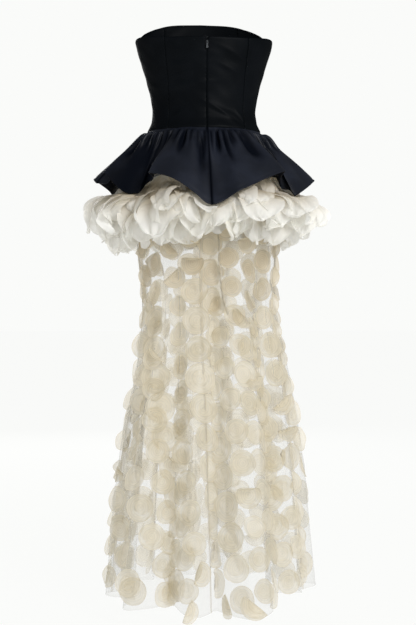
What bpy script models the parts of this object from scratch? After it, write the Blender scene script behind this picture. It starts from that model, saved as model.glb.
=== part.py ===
"""A strapless gown, standing open as it does when it is worn.

A fitted black bodice with a zip down its back, a gathered peplum with a dipping hem, two rows of
ivory petals that puff out below it, and a long sheer skirt in deep folds, covered in round
applique discs that are stitched down at their centres.

Metres, +Z up. The origin is the centre of the waist. -Y is the back, with the zip, and +X is the
wearer's right. Angles are in degrees round the body, 0 at the centre back and 90 at +X.
"""

import math

import bmesh
import bpy
import numpy as np
from mathutils import Vector
from mathutils.bvhtree import BVHTree
from mathutils.kdtree import KDTree

SEAM_GAP = 0.0003
SHARP_ANGLE = math.radians(50)

# Cloth walls
BODICE_WALL = 0.0025
PEPLUM_WALL = 0.0011
RUFFLE_WALL = 0.0010
SKIRT_WALL = 0.0010

# Bodice
BODICE_BOTTOM = -0.043
BACK_TOP = 0.148
SIDE_TOP = 0.162
FRONT_TOP = 0.222
BUST_X = 0.076
BUST_Z = 0.118
BUST_SIZE = 0.013
BUST_SPREAD = 0.045
BODICE_ROWS = 7
TORSO_SQUARENESS = 0.92

# The bodice's outline, a row for each height
BODICE_SECTIONS = (
    # height, half_width, back_depth, front_depth
    (-0.043, 0.1250, 0.100, 0.101),
    (-0.022, 0.1165, 0.091, 0.097),
    (0.000, 0.1143, 0.087, 0.097),
    (0.030, 0.1180, 0.088, 0.101),
    (0.070, 0.1275, 0.092, 0.108),
    (0.110, 0.1390, 0.097, 0.115),
    (0.145, 0.1495, 0.101, 0.117),
    (0.165, 0.1525, 0.103, 0.116),
    (0.225, 0.1500, 0.104, 0.112),
)

# Seams that shape the bodice, as angles from the centre back and from the centre front
BODICE_SEAMS = (
    # share_of_height, back_angle, front_angle
    (0.00, 40.5, 36.0),
    (0.22, 43.5, 34.0),
    (0.60, 39.5, 31.5),
    (1.00, 35.5, 32.0),
)

# Soft drag lines in the bodice's back: the middle of each, its half length, slant and depth
BODICE_DRAGS = (
    # angle, height, half_angle, slant, half_height, depth
    (20, -0.012, 18, -0.0011, 0.0070, 0.0020),
    (30, -0.026, 13, -0.0012, 0.0060, -0.0018),
    (-24, 0.062, 15, 0.0002, 0.0075, -0.0012),
    (-27, 0.090, 15, 0.0003, 0.0070, 0.0011),
    (24, 0.098, 16, -0.0006, 0.0090, -0.0012),
)

# The peplum's hem: where each point of it hangs from at the waist, and where it lies
PEPLUM_HEM = (
    # waist_angle, x, y, z
    (0, 0.003, -0.204, -0.2210),
    (13, 0.054, -0.203, -0.1960),
    (26, 0.116, -0.166, -0.1640),
    (35, 0.166, -0.124, -0.1420),
    (42, 0.160, -0.094, -0.1550),
    (50, 0.166, -0.066, -0.1740),
    (58, 0.182, -0.068, -0.1770),
    (66, 0.190, -0.088, -0.1910),
    (77, 0.224, -0.052, -0.1690),
    (90, 0.248, 0.000, -0.1480),
    (99, 0.240, 0.046, -0.1560),
    (107, 0.208, 0.074, -0.1720),
    (115, 0.194, 0.112, -0.1800),
    (124, 0.158, 0.134, -0.1660),
    (134, 0.140, 0.172, -0.1520),
    (146, 0.094, 0.176, -0.1660),
    (160, 0.054, 0.200, -0.1890),
    (180, 0.000, 0.208, -0.2100),
    (200, -0.054, 0.200, -0.1900),
    (214, -0.094, 0.174, -0.1670),
    (226, -0.138, 0.172, -0.1520),
    (236, -0.162, 0.134, -0.1690),
    (246, -0.198, 0.108, -0.1800),
    (256, -0.212, 0.060, -0.1680),
    (264, -0.246, 0.024, -0.1460),
    (270, -0.238, 0.004, -0.1570),
    (275, -0.220, -0.002, -0.1590),
    (279, -0.209, -0.020, -0.1510),
    (284, -0.222, -0.052, -0.1380),
    (290, -0.208, -0.073, -0.1550),
    (297, -0.190, -0.093, -0.1770),
    (304, -0.168, -0.110, -0.1900),
    (310, -0.148, -0.112, -0.1900),
    (316, -0.131, -0.098, -0.1700),
    (322, -0.116, -0.116, -0.1580),
    (328, -0.128, -0.149, -0.1500),
    (335, -0.104, -0.170, -0.1560),
    (344, -0.070, -0.191, -0.1690),
    (352, -0.033, -0.201, -0.1970),
)
PEPLUM_PANELS = {
    "peplum_back_right": (0, 90),
    "peplum_front": (90, 270),
    "peplum_back_left": (270, 360),
}
PEPLUM_ROWS = 4
PEPLUM_DEGREES_A_COLUMN = 3.8
GATHERS_ROUND = 28
GATHER_DEPTH = 0.0024
PEPLUM_LIFT = 0.010

# The petal rows: how far each stands off the skirt, from its sewn edge to its free one
UPPER_PETALS = (
    # share, stand_off, height
    (0.00, 0.0010, -0.158),
    (0.25, 0.0500, -0.166),
    (0.50, 0.0920, -0.188),
    (0.75, 0.1120, -0.222),
    (1.00, 0.1000, -0.252),
)
LOWER_PETALS = (
    (0.00, 0.0011, -0.206),
    (0.25, 0.0300, -0.217),
    (0.50, 0.0480, -0.236),
    (0.75, 0.0530, -0.261),
    (1.00, 0.0420, -0.286),
)
PETALS_ROUND = 22
COLUMNS_A_PETAL = 4
PETAL_WAVE = 0.012
PETAL_SCALLOP = 0.018
LOWER_SINK = 0.35
PETAL_LEAN = 0.007
PETAL_CLEARANCE = 0.010
PEPLUM_REACH = 0.018
FRONT_BACK_DROP = 0.008

# The skirt's outline over its folds, a row for each height
SKIRT_SECTIONS = (
    # height, left, right, back, front
    (-0.0433, 0.1235, 0.1235, 0.0985, 0.0995),
    (-0.095, 0.1390, 0.1400, 0.1080, 0.1080),
    (-0.150, 0.1470, 0.1500, 0.1150, 0.1150),
    (-0.200, 0.1500, 0.1560, 0.1190, 0.1190),
    (-0.300, 0.1460, 0.1590, 0.1200, 0.1200),
    (-0.420, 0.1370, 0.1560, 0.1210, 0.1220),
    (-0.560, 0.1500, 0.1810, 0.1370, 0.1400),
    (-0.720, 0.1820, 0.2060, 0.1590, 0.1640),
    (-0.890, 0.2030, 0.2270, 0.1770, 0.1840),
    (-1.061, 0.2170, 0.2430, 0.1930, 0.2000),
)
FOLD_DEPTHS = (
    # height, depth
    (-0.200, 0.000),
    (-0.300, 0.004),
    (-0.420, 0.012),
    (-0.560, 0.021),
    (-0.720, 0.031),
    (-0.890, 0.039),
    (-1.061, 0.046),
)
# The folds of the skirt, as the ridges and hollows between them
SKIRT_FOLDS = (
    # angle, reach
    (-84, 0.55),
    (-66, -0.55),
    (-47, 1.00),
    (-31, -1.00),
    (-9, 0.50),
    (6, -1.00),
    (21, 1.15),
    (33, 0.75),
    (54, -1.00),
    (76, 0.10),
    (86, -0.10),
    (99, 1.00),
    (117, -0.90),
    (135, 0.90),
    (152, -0.85),
    (170, 0.75),
    (187, -0.85),
    (205, 0.90),
    (223, -0.80),
    (242, 0.95),
    (260, -0.60),
)
# The angles at which the skirt is widest, seen from the back
RIGHT_EDGE = 94
LEFT_EDGE = -86
# The seam up the centre back leans a little to the left below the waist
CENTRE_BACK_SEAM = (
    # height, angle
    (-1.061, 1.0),
    (-0.700, -3.0),
    (-0.350, -7.0),
    (-0.150, -2.0),
    (-0.0433, 0.0),
)
# Degrees to each side over which the folds' direction is taken
FOLD_STEP = 4.0
SKIRT_COLUMNS = {"skirt_back_left": 24, "skirt_back_right": 24, "skirt_front": 44}

# The columns of applique discs, which lean round the skirt as they go down
DISC_COLUMNS = (
    # top_angle, hem_angle, first_height, radius
    (-58, -20, -0.276, 0.0255),
    (-38, -4, -0.306, 0.0215),
    (-16, 8, -0.276, 0.0255),
    (2, 17, -0.296, 0.0245),
    (19, 38, -0.266, 0.0215),
    (38, 68, -0.293, 0.0225),
    (59, 92, -0.270, 0.0240),
    (79, 110, -0.300, 0.0225),
    (96, 127, -0.270, 0.0250),
    (112, 144, -0.300, 0.0220),
    (128, 161, -0.270, 0.0250),
    (144, 178, -0.300, 0.0220),
    (160, 195, -0.270, 0.0250),
    (176, 212, -0.300, 0.0220),
    (192, 229, -0.270, 0.0250),
    (208, 246, -0.300, 0.0220),
    (224, 264, -0.270, 0.0250),
    (242, 289, -0.300, 0.0220),
    (261, 316, -0.270, 0.0245),
    (281, 328, -0.300, 0.0225),
)
DISC_PITCH = 0.0612
DISC_LOWEST = -1.035
DISC_TOP = -0.300
DISC_SIDES = 8
DISC_CLEARANCE = 0.0022
DISC_LIFT = 0.0030
STITCH_RADIUS = 0.0030
STITCH_MARGIN = 0.10
NEIGHBOUR_REACH = 0.08
# Sizes, and tilts towards the straight way out with their stand-offs, in the order they are tried
DISC_SIZES = (1.0, 0.9, 0.8, 0.7, 0.6, 0.5)
DISC_TILTS = ((0.0, 0.0042), (0.3, 0.0050), (0.6, 0.0070), (1.0, 0.0090))

# The zip's slider and its pull tab, on the back
SLIDER_HEIGHT = 0.1350
SLIDER_SIZE = (0.0048, 0.0018, 0.0080)
BRIDGE_RADIUS = 0.0022
BRIDGE_WIRE = 0.00045
BRIDGE_RISE = 0.0003
TAB_EYE_RADIUS = 0.00085
TAB_EYE_OUTER = 0.0016
TAB_HALF_WIDTH = 0.0023
TAB_LENGTH = 0.0125
TAB_THICKNESS = 0.0008
TAB_REST_ANGLE = 24

# The hook and eye above it
HOOK_WIRE = 0.0004
HOOK_BEND = 0.0011
HOOK_LEG = 0.0080
EYE_RADIUS = 0.0018
EYE_TIP = 0.0006
NOTCH_HALF_WIDTH = 0.0014
NOTCH_START = 0.93

BLACK_CLOTH = (0.010, 0.012, 0.018)
PEPLUM_CLOTH = (0.012, 0.015, 0.026)
IVORY_ORGANZA = (0.78, 0.76, 0.68)
SHEER_MESH = (0.80, 0.78, 0.72)
ZIP_METAL = (0.33, 0.34, 0.36)


def smooth(at, knots, values):
    """The table's values at the places asked for, on a curve that doesn't overshoot its rows."""
    knots = np.asarray(knots, float)
    values = np.asarray(values, float)
    at = np.clip(np.asarray(at, float), knots[0], knots[-1])
    row = np.clip(np.searchsorted(knots, at, side="right") - 1, 0, len(knots) - 2)
    gaps = np.diff(knots)
    slopes = np.diff(values) / gaps
    before, after = slopes[:-1], slopes[1:]
    same_way = before * after > 0
    total = np.where(same_way, before + after, 1.0)
    middle = np.where(same_way, 2 * before * after / total, 0.0)
    tangents = np.concatenate([slopes[:1], middle, slopes[-1:]])
    gap = gaps[row]
    t = (at - knots[row]) / gap
    start = (1 + 2 * t) * (1 - t) ** 2 * values[row] + t**2 * (3 - 2 * t) * values[row + 1]
    return start + gap * t * (1 - t) * ((1 - t) * tangents[row] - t * tangents[row + 1])


def column(table, number):
    return [row[number] for row in table]


def by_angle(table, number, angle):
    """A column of a table whose first column is an angle, on a curve that goes all the way round."""
    first = table[0][0]
    rows = [(row[0] - 360, *row[1:]) for row in table[-2:]]
    rows += table
    rows += [(row[0] + 360, *row[1:]) for row in table[:2]]
    turn = (np.asarray(angle, float) - first) % 360 + first
    return smooth(turn, column(rows, 0), column(rows, number))


def by_height(table, number, z):
    """A column of a table whose first column is a height, at the heights z."""
    rows = sorted(table)
    return smooth(z, column(rows, 0), column(rows, number))


def fade(value, low, high):
    """0 below low, 1 above high, and a smooth rise between."""
    t = np.clip((np.asarray(value, float) - low) / (high - low), 0, 1)
    return t * t * (3 - 2 * t)


def new_material(name, colour, roughness, metallic=0.0):
    material = bpy.data.materials.new(name)
    material.use_nodes = True
    shader = material.node_tree.nodes["Principled BSDF"]
    shader.inputs["Base Color"].default_value = (*colour, 1)
    shader.inputs["Roughness"].default_value = roughness
    shader.inputs["Metallic"].default_value = metallic
    return material


def add_object(name, data, material, collection):
    obj = bpy.data.objects.new(name, data)
    collection.objects.link(obj)
    data.materials.append(material)
    return obj


def add_solid(name, points, faces, material, collection):
    """A mesh object from its points and faces, with every face turned outwards."""
    mesh = bpy.data.meshes.new(name)
    mesh.from_pydata([tuple(p) for p in points], [], [tuple(f) for f in faces])
    form = bmesh.new()
    form.from_mesh(mesh)
    bmesh.ops.recalc_face_normals(form, faces=form.faces)
    form.to_mesh(mesh)
    form.free()
    mesh.shade_smooth()
    mesh.set_sharp_from_angle(angle=SHARP_ANGLE)
    return add_object(name, mesh, material, collection)


def normals_of(surface, across, level, falls=False, step_across=0.05):
    """Unit normals of surface(across, level), facing away from the body.

    falls says that level grows downwards.
    """
    step_level = 1e-4
    along = surface(across + step_across, level) - surface(across - step_across, level)
    rise = surface(across, level + step_level) - surface(across, level - step_level)
    normal = np.cross(rise, along) if falls else np.cross(along, rise)
    return normal / np.linalg.norm(normal, axis=-1, keepdims=True)


def inner_face(surface, across, level, thickness, falls=False, step_across=0.05):
    """The wall's inner points. Those of its first and last rows stay level with the outer ones."""
    normal = normals_of(surface, across, level, falls, step_across)
    for row in (0, -1):
        normal[row, :, 2] = 0
        normal[row] /= np.linalg.norm(normal[row], axis=-1, keepdims=True)
    return surface(across, level) - normal * thickness


def wall_faces(rows, columns, round_body):
    """Triangles of a cloth wall: its outer face, its inner face with the same diagonals, and its edges."""
    layer = rows * columns
    spans = columns if round_body else columns - 1
    faces = []
    for r in range(rows - 1):
        for c in range(spans):
            a, b = r * columns + c, r * columns + (c + 1) % columns
            d, e = a + columns, b + columns
            faces += [(a, e, b), (a, d, e)]
            faces += [(layer + a, layer + b, layer + e), (layer + a, layer + e, layer + d)]
    for c in range(spans):
        a, b = c, (c + 1) % columns
        faces += [(b, a, layer + a), (b, layer + a, layer + b)]
        a, b = a + layer - columns, b + layer - columns
        faces += [(a, b, layer + b), (a, layer + b, layer + a)]
    if not round_body:
        for r in range(rows - 1):
            a, d = r * columns, (r + 1) * columns
            faces += [(a, d, layer + d), (a, layer + d, layer + a)]
            b, e = a + columns - 1, d + columns - 1
            faces += [(e, b, layer + b), (e, layer + b, layer + e)]
    return faces


def cloth_wall(name, surface, across, level, thickness, material, collection, falls=False):
    """A panel whose outer face is surface(across, level), on a grid of rows and columns."""
    rows, columns = across.shape
    outer = surface(across, level)
    inner = inner_face(surface, across, level, thickness, falls)
    points = np.concatenate([outer.reshape(-1, 3), inner.reshape(-1, 3)])
    faces = wall_faces(rows, columns, round_body=False)
    return add_solid(name, points, faces, material, collection)


def bodice_top(angle):
    """Height of the neckline: low across the back, and an arch over the bust in front."""
    side = np.abs(np.sin(np.radians(angle)))
    back = BACK_TOP + (SIDE_TOP - BACK_TOP) * side**3
    front = SIDE_TOP + (FRONT_TOP - SIDE_TOP) * (1 - side**3.6)
    return np.where(np.cos(np.radians(angle)) > 0, back, front)


def drag_lines(angle, z):
    """How far the drag lines lift the bodice's cloth."""
    turn = (np.asarray(angle, float) + 180) % 360 - 180
    lift = np.zeros(np.broadcast(turn, z).shape)
    for middle, height, half_angle, slant, half_height, depth in BODICE_DRAGS:
        along = (turn - middle) / half_angle
        off = (z - height - slant * (turn - middle)) / half_height
        lift += depth * np.exp(-(along**2)) * np.exp(-(off**2))
    return lift


def torso_point(angle, z, back, front, half_width):
    turn = np.radians(angle)
    across, ahead = np.sin(turn), -np.cos(turn)
    squared = TORSO_SQUARENESS
    x = half_width * np.sign(across) * np.abs(across) ** squared
    depth = np.where(ahead < 0, back, front)
    y = depth * np.sign(ahead) * np.abs(ahead) ** squared
    return x, y


def bodice_surface(angle, share):
    """The bodice's outside. share is 0 at the waist seam and 1 at the neckline."""
    z = BODICE_BOTTOM + share * (bodice_top(angle) - BODICE_BOTTOM)
    half_width = by_height(BODICE_SECTIONS, 1, z)
    back = by_height(BODICE_SECTIONS, 2, z)
    front = by_height(BODICE_SECTIONS, 3, z)
    x, y = torso_point(angle, z, back, front, half_width)
    off_apex = ((np.abs(x) - BUST_X) / BUST_SPREAD) ** 2 + ((z - BUST_Z) / BUST_SPREAD) ** 2
    bust = np.where(y > 0, BUST_SIZE * np.exp(-off_apex), 0.0)
    lift = drag_lines(angle, z)
    turn = np.radians(angle)
    return np.stack([x + lift * np.sin(turn), y + bust - lift * np.cos(turn), z], axis=-1)


def bodice_seam(which, share):
    return smooth(share, column(BODICE_SEAMS, 0), column(BODICE_SEAMS, which))


def make_bodice(cloth, collection):
    """Two backs that meet at the zip, two sides, and a front between the seams over the bust."""
    gap = math.degrees(SEAM_GAP / 2 / 0.12)
    notch = math.degrees(NOTCH_HALF_WIDTH / 0.10)

    def centre(share):
        return gap + notch * fade(share, NOTCH_START, 1.0)

    def back(share):
        return bodice_seam(1, share)

    def front(share):
        return 180 - bodice_seam(2, share)

    panels = {
        "bodice_back_right": (centre, lambda s: back(s) - gap, 9),
        "bodice_side_right": (lambda s: back(s) + gap, lambda s: front(s) - gap, 13),
        "bodice_front": (lambda s: front(s) + gap, lambda s: 360 - front(s) - gap, 13),
        "bodice_side_left": (lambda s: 360 - front(s) + gap, lambda s: 360 - back(s) - gap, 13),
        "bodice_back_left": (lambda s: 360 - back(s) + gap, lambda s: 360 - centre(s), 9),
    }
    shares = np.linspace(0, 1, BODICE_ROWS)[::-1]
    for name, (first, last, columns) in panels.items():
        share = np.repeat(shares[:, None], columns, axis=1)
        along = np.linspace(0, 1, columns)[None, :]
        angle = first(share) * (1 - along) + last(share) * along
        cloth_wall(name, bodice_surface, angle, share, BODICE_WALL, cloth, collection)


def waist_seam(angle):
    """The outside of the bodice's lower edge, where the peplum and the skirt are sewn on."""
    return bodice_surface(angle, np.zeros_like(angle))


def gathers(angle):
    """The uneven ripple that the gathering thread leaves round the waist."""
    turn = np.radians(angle)
    even = np.cos(GATHERS_ROUND * turn + 0.8 * np.sin(3 * turn))
    return even * (1 + 0.35 * np.sin(5 * turn + 1.0)) + 0.3 * np.cos(17 * turn + 0.4)


def peplum_surface(angle, share):
    """The peplum's outside. share is 0 at the waist seam and 1 at the hem."""
    seam = waist_seam(angle)
    seam[..., 2] -= SEAM_GAP
    hem = np.stack([by_angle(PEPLUM_HEM, number, angle) for number in (1, 2, 3)], axis=-1)
    share = np.asarray(share, float)[..., None]
    lifted = (seam + hem) / 2 + np.array([0, 0, PEPLUM_LIFT])
    point = (1 - share) ** 2 * seam + 2 * share * (1 - share) * lifted + share**2 * hem
    turn = np.radians(angle)
    out = np.stack([np.sin(turn), -np.cos(turn), 0.6 + 0 * turn], axis=-1)
    swell = fade(share, 0.0, 0.16) * (1 - fade(share, 0.22, 0.80))
    return point + out * GATHER_DEPTH * swell * (gathers(angle)[..., None] + 0.5)


def make_peplum(cloth, collection):
    """Three flared panels, gathered into the waist seam, with their points at the centre back."""
    gap = math.degrees(SEAM_GAP / 2 / 0.12)
    for name, (first, last) in PEPLUM_PANELS.items():
        columns = 1 + round((last - first) / PEPLUM_DEGREES_A_COLUMN)
        angle, share = np.meshgrid(
            np.linspace(first + gap, last - gap, columns),
            np.linspace(0, 1, PEPLUM_ROWS + 1) ** 1.15,
        )
        cloth_wall(name, peplum_surface, angle, share, PEPLUM_WALL, cloth, collection, falls=True)


def peplum_underside():
    """A function that gives the lowest point of the peplum over a place, or a height above it all."""
    angle, share = np.meshgrid(np.arange(0, 360, 0.8), np.linspace(0, 1, 30))
    points = peplum_surface(angle, share).reshape(-1, 3)
    tree = KDTree(len(points))
    for number, point in enumerate(points):
        tree.insert((point[0], point[1], 0), number)
    tree.balance()

    def under(x, y):
        near = tree.find_range((x, y, 0), PEPLUM_REACH)
        return min((points[number][2] for _, number, _ in near), default=1.0)

    return under


def fold_reach(angle):
    """The skirt's fold at an angle: 1 on a full ridge, -1 in a full hollow."""
    return by_angle(SKIRT_FOLDS, 1, angle)


def skirt_surface(angle, z):
    """The skirt's outside."""
    z = np.asarray(z, float)
    turn = np.radians(angle)
    across, behind = np.sin(turn), np.cos(turn)
    depth = by_height(FOLD_DEPTHS, 1, z)
    right = by_height(SKIRT_SECTIONS, 2, z) - depth * fold_reach(RIGHT_EDGE)
    left = by_height(SKIRT_SECTIONS, 1, z) - depth * fold_reach(LEFT_EDGE)
    half_width = np.where(across > 0, right, left)
    back = by_height(SKIRT_SECTIONS, 3, z)
    front = by_height(SKIRT_SECTIONS, 4, z)
    half_depth = np.where(behind > 0, back, front)
    power = 2 + (2 / TORSO_SQUARENESS - 2) * fade(z, -0.15, BODICE_BOTTOM)
    inverse = np.abs(across / half_width) ** power + np.abs(behind / half_depth) ** power
    radius = inverse ** (-1 / power) + depth * fold_reach(angle)
    return np.stack([radius * across, -radius * behind, z + 0 * radius], axis=-1)


def petal_points(profile, phase, angle, share):
    """The outside of a row of petals: out from the skirt in lobes, and down to a scalloped edge."""
    turn = np.radians(angle)
    stand_off = smooth(share, column(profile, 0), column(profile, 1))
    drop = FRONT_BACK_DROP * np.cos(turn) ** 2 * fade(share, 0.0, 0.4)
    height = smooth(share, column(profile, 0), column(profile, 2)) - drop
    base = skirt_surface(angle, np.full_like(angle, profile[0][2]))
    beat = PETALS_ROUND * turn / 2 + phase + 0.5 * np.sin(3 * turn + phase)
    lobe = np.abs(np.cos(beat)) ** 0.8
    size = 0.85 + 0.15 * np.sin(7 * turn + 2 * phase)
    leaning = 1 - PETAL_LEAN / profile[3][1] * np.minimum(np.sin(turn), 0)
    away = stand_off * leaning + PETAL_WAVE * fade(share, 0.05, 0.9) * (2 * lobe - 1)
    height = height - PETAL_SCALLOP * share**2 * (lobe * size - 0.6)
    out = np.stack([np.sin(turn), -np.cos(turn)], axis=-1)
    place = base[..., :2] + out * away[..., None]
    return np.concatenate([place, height[..., None]], axis=-1)


def sink_below(points, under):
    """How far each column of the upper petals goes down to clear the peplum."""
    columns = points.shape[1]
    sink = np.zeros(columns)
    for c in range(columns):
        for x, y, z in points[1:, c]:
            sink[c] = max(sink[c], z + PETAL_CLEARANCE - under(x, y))
    wide = np.maximum(sink, np.maximum(np.roll(sink, 1), np.roll(sink, -1)))
    return (np.roll(wide, 1) + 2 * wide + np.roll(wide, -1)) / 4


def grid_normals(points):
    """Outward unit normals of a closed band of points, whose rows run down."""
    along = np.roll(points, -1, axis=1) - np.roll(points, 1, axis=1)
    fall = np.gradient(points, axis=0)
    normal = np.cross(fall, along)
    return normal / np.linalg.norm(normal, axis=-1, keepdims=True)


def make_petals(organza, collection):
    """Two gathered rows of petals, each sewn round the skirt by its upper edge."""
    columns = PETALS_ROUND * COLUMNS_A_PETAL
    angle, share = np.meshgrid(
        np.linspace(0, 360, columns, endpoint=False), np.array(column(UPPER_PETALS, 0))
    )
    upper = petal_points(UPPER_PETALS, 0.0, angle, share)
    lower = petal_points(LOWER_PETALS, 1.1, angle, share)
    sink = sink_below(upper, peplum_underside())
    for name, points, amount in (("petals_upper", upper, 1.0), ("petals_lower", lower, LOWER_SINK)):
        points[..., 2] -= amount * sink * fade(share, 0.0, 0.3)
        inner = points - grid_normals(points) * RUFFLE_WALL
        both = np.concatenate([points.reshape(-1, 3), inner.reshape(-1, 3)])
        add_solid(name, both, wall_faces(len(share), columns, round_body=True), organza, collection)


def seam_angles(name, z):
    """The two seams that a skirt panel lies between."""
    centre = by_height(CENTRE_BACK_SEAM, 1, z)
    return {
        "skirt_back_left": (-90 + 0 * z, centre),
        "skirt_back_right": (centre, 90 + 0 * z),
        "skirt_front": (90 + 0 * z, 270 + 0 * z),
    }[name]


def even_shares(name, columns):
    """Shares of a panel's width that divide its hem into equal lengths of cloth."""
    hem = SKIRT_SECTIONS[-1][0]
    first, last = seam_angles(name, np.array(hem))
    fine = np.linspace(0, 1, 1500)
    line = skirt_surface(first + (last - first) * fine, np.full_like(fine, hem))
    steps = np.linalg.norm(np.diff(line, axis=0), axis=1)
    length = np.concatenate([[0], np.cumsum(steps)])
    return np.interp(np.linspace(0, length[-1], columns), length, fine)


def disc_list():
    """Each disc's angle, height and radius, down the leaning columns."""
    discs = []
    for top_angle, hem_angle, first, radius in DISC_COLUMNS:
        count = int((first - DISC_LOWEST) / DISC_PITCH) + 1
        for number in range(count):
            z = first - number * DISC_PITCH
            share = (DISC_TOP - z) / (DISC_TOP - DISC_LOWEST)
            discs.append((top_angle + (hem_angle - top_angle) * share, z, radius))
    return discs


class SkirtPanel:
    """A folded panel of the skirt, with the points and faces that discs are added to."""

    def __init__(self, name, columns):
        self.name = name
        heights = np.array(column(SKIRT_SECTIONS, 0))
        share, z = np.meshgrid(even_shares(name, columns), heights)
        first, last = seam_angles(name, z)
        gap = np.degrees(SEAM_GAP / 2 / 0.13)
        angle = first + gap + (last - first - 2 * gap) * share
        outer = skirt_surface(angle, z)
        inner = inner_face(skirt_surface, angle, z, SKIRT_WALL, step_across=FOLD_STEP)
        self.points = np.concatenate([outer.reshape(-1, 3), inner.reshape(-1, 3)]).tolist()
        self.flat = np.stack([share, z], axis=-1).reshape(-1, 2).tolist() * 2
        layer = share.size
        faces = wall_faces(len(heights), columns, round_body=False)
        self.outer = [face for face in faces if max(face) < layer]
        self.hosts = list(range(len(self.outer)))
        self.rest = [face for face in faces if max(face) >= layer]

    def holder(self, angle, z):
        """The outer triangle that holds a place, and the place's weights on its corners."""
        first, last = seam_angles(self.name, np.array(z))
        at = np.array([(angle - first) / (last - first), z])
        flat = np.array(self.flat)
        a, b, c = (flat[[face[i] for face in self.outer]] for i in range(3))
        u, v, w = b - a, c - a, at - a
        area = u[:, 0] * v[:, 1] - u[:, 1] * v[:, 0]
        second = (w[:, 0] * v[:, 1] - w[:, 1] * v[:, 0]) / area
        third = (u[:, 0] * w[:, 1] - u[:, 1] * w[:, 0]) / area
        weights = np.stack([1 - second - third, second, third], axis=1)
        number = int(weights.min(axis=1).argmax())
        return number, weights[number]

    def stitch(self, number, weights):
        """The corners of a small triangle inside an outer triangle, with their flat places."""
        face = list(self.outer[number])
        corners = np.array([self.points[i] for i in face])
        flat = np.array([self.flat[i] for i in face])
        weights = np.clip(weights, STITCH_MARGIN, None)
        weights = weights / weights.sum()
        reach = np.linalg.norm(corners - weights @ corners, axis=1).max()
        shrink = min(0.4, STITCH_RADIUS / reach)
        mix = weights * (1 - shrink) + np.eye(3) * shrink
        return mix @ corners, mix @ flat

    def sew(self, number, ring, ring_flat, rim, faces):
        """Adds a disc's rim and its faces, with the stitch opened in the outer triangle."""
        face = self.outer.pop(number)
        host = self.hosts.pop(number)
        first = len(self.points)
        self.points += ring.tolist() + rim.tolist()
        self.flat += ring_flat.tolist() + [[0, 0]] * len(rim)
        for i in range(3):
            j = (i + 1) % 3
            self.outer += [(face[i], face[j], first + j), (face[i], first + j, first + i)]
            self.hosts += [host, host]
        self.rest += [tuple(first + i for i in corners) for corners in faces]


def disc_faces(ring, rim):
    """A disc's underside, from its stitch to its rim, and its face. The ring's points come first."""
    start = np.linalg.norm(rim - ring[0], axis=1).argmin()
    order = [3 + (start + n) % len(rim) for n in range(len(rim))]
    faces = []
    near, far = 0, 0
    while near < 3 or far < len(rim):
        a, b = near % 3, order[far % len(rim)]
        if near < 3 and (near + 0.5) / 3 <= (far + 0.5) / len(rim):
            faces.append((a, (near + 1) % 3, b))
            near += 1
        else:
            faces.append((a, order[(far + 1) % len(rim)], b))
            far += 1
    for n in range(1, len(rim) - 1):
        faces.append((3, 3 + n, 4 + n))
    return faces


class DiscFitter:
    """Finds a tilt, a stand-off and a size at which a disc clears the folds and its neighbours."""

    def __init__(self, panels):
        points, outer, everything = [], [], []
        self.first_host = {}
        for panel in panels:
            start = len(points)
            self.first_host[panel.name] = len(outer)
            points += panel.points
            outer += [tuple(start + i for i in face) for face in panel.outer]
            everything += [tuple(start + i for i in face) for face in panel.rest]
        self.outside = BVHTree.FromPolygons(points, outer, all_triangles=True)
        self.cloth = BVHTree.FromPolygons(points, outer + everything, all_triangles=True)
        self.placed = []

    def keep_clear(self, point):
        """The point, moved off any cloth that it touches."""
        point = Vector(point)
        for _ in range(4):
            on, normal, _, _ = self.outside.find_nearest(point)
            off = (point - on).dot(normal)
            if off >= DISC_CLEARANCE:
                break
            point += normal * (DISC_CLEARANCE + 0.0001 - off)
        return np.array(point)

    def rim(self, ring, radius, tilt, stand_off):
        seat = ring.mean(axis=0)
        place = np.array([math.degrees(math.atan2(seat[0], -seat[1]))]), np.array([seat[2]])
        normal = normals_of(skirt_surface, *place, step_across=FOLD_STEP)[0]
        away = np.array([seat[0], seat[1], 0]) / math.hypot(seat[0], seat[1])
        normal = normal * (1 - tilt) + away * tilt
        normal = normal / np.linalg.norm(normal)
        down = np.array([0, 0, -1]) + normal * normal[2]
        down = down / np.linalg.norm(down)
        side = np.cross(down, normal)
        points = []
        for n in range(DISC_SIDES):
            turn = (n + 0.5) * 2 * math.pi / DISC_SIDES
            reach = side * math.cos(turn) + down * math.sin(turn)
            lift = stand_off + DISC_LIFT * math.sin(turn)
            points.append(self.keep_clear(seat + reach * radius + normal * lift))
        return np.array(points)

    def fits(self, host, ring, rim, faces):
        points = [tuple(p) for p in (*ring, *rim)]
        disc = BVHTree.FromPolygons(points, faces, all_triangles=True)
        if any(number != host for _, number in disc.overlap(self.cloth)):
            return None
        if any(not set(faces[a]) & set(faces[b]) for a, b in disc.overlap(disc)):
            return None
        plane = np.cross(ring[1] - ring[0], ring[2] - ring[0])
        plane = plane / np.linalg.norm(plane)
        if ((rim - ring[0]) @ plane).min() < DISC_CLEARANCE / 2:
            return None
        middle = ring.mean(axis=0)
        for other, tree in self.placed:
            if np.linalg.norm(other - middle) < NEIGHBOUR_REACH and disc.overlap(tree):
                return None
        return disc

    def add(self, panel, angle, z, radius):
        number, weights = panel.holder(angle, z)
        host = self.first_host[panel.name] + panel.hosts[number]
        ring, ring_flat = panel.stitch(number, weights)
        for size in DISC_SIZES:
            for tilt, stand_off in DISC_TILTS:
                rim = self.rim(ring, radius * size, tilt, stand_off)
                faces = disc_faces(ring, rim)
                disc = self.fits(host, ring, rim, faces)
                if disc:
                    panel.sew(number, ring, ring_flat, rim, faces)
                    self.placed.append((ring.mean(axis=0), disc))
                    return


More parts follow.
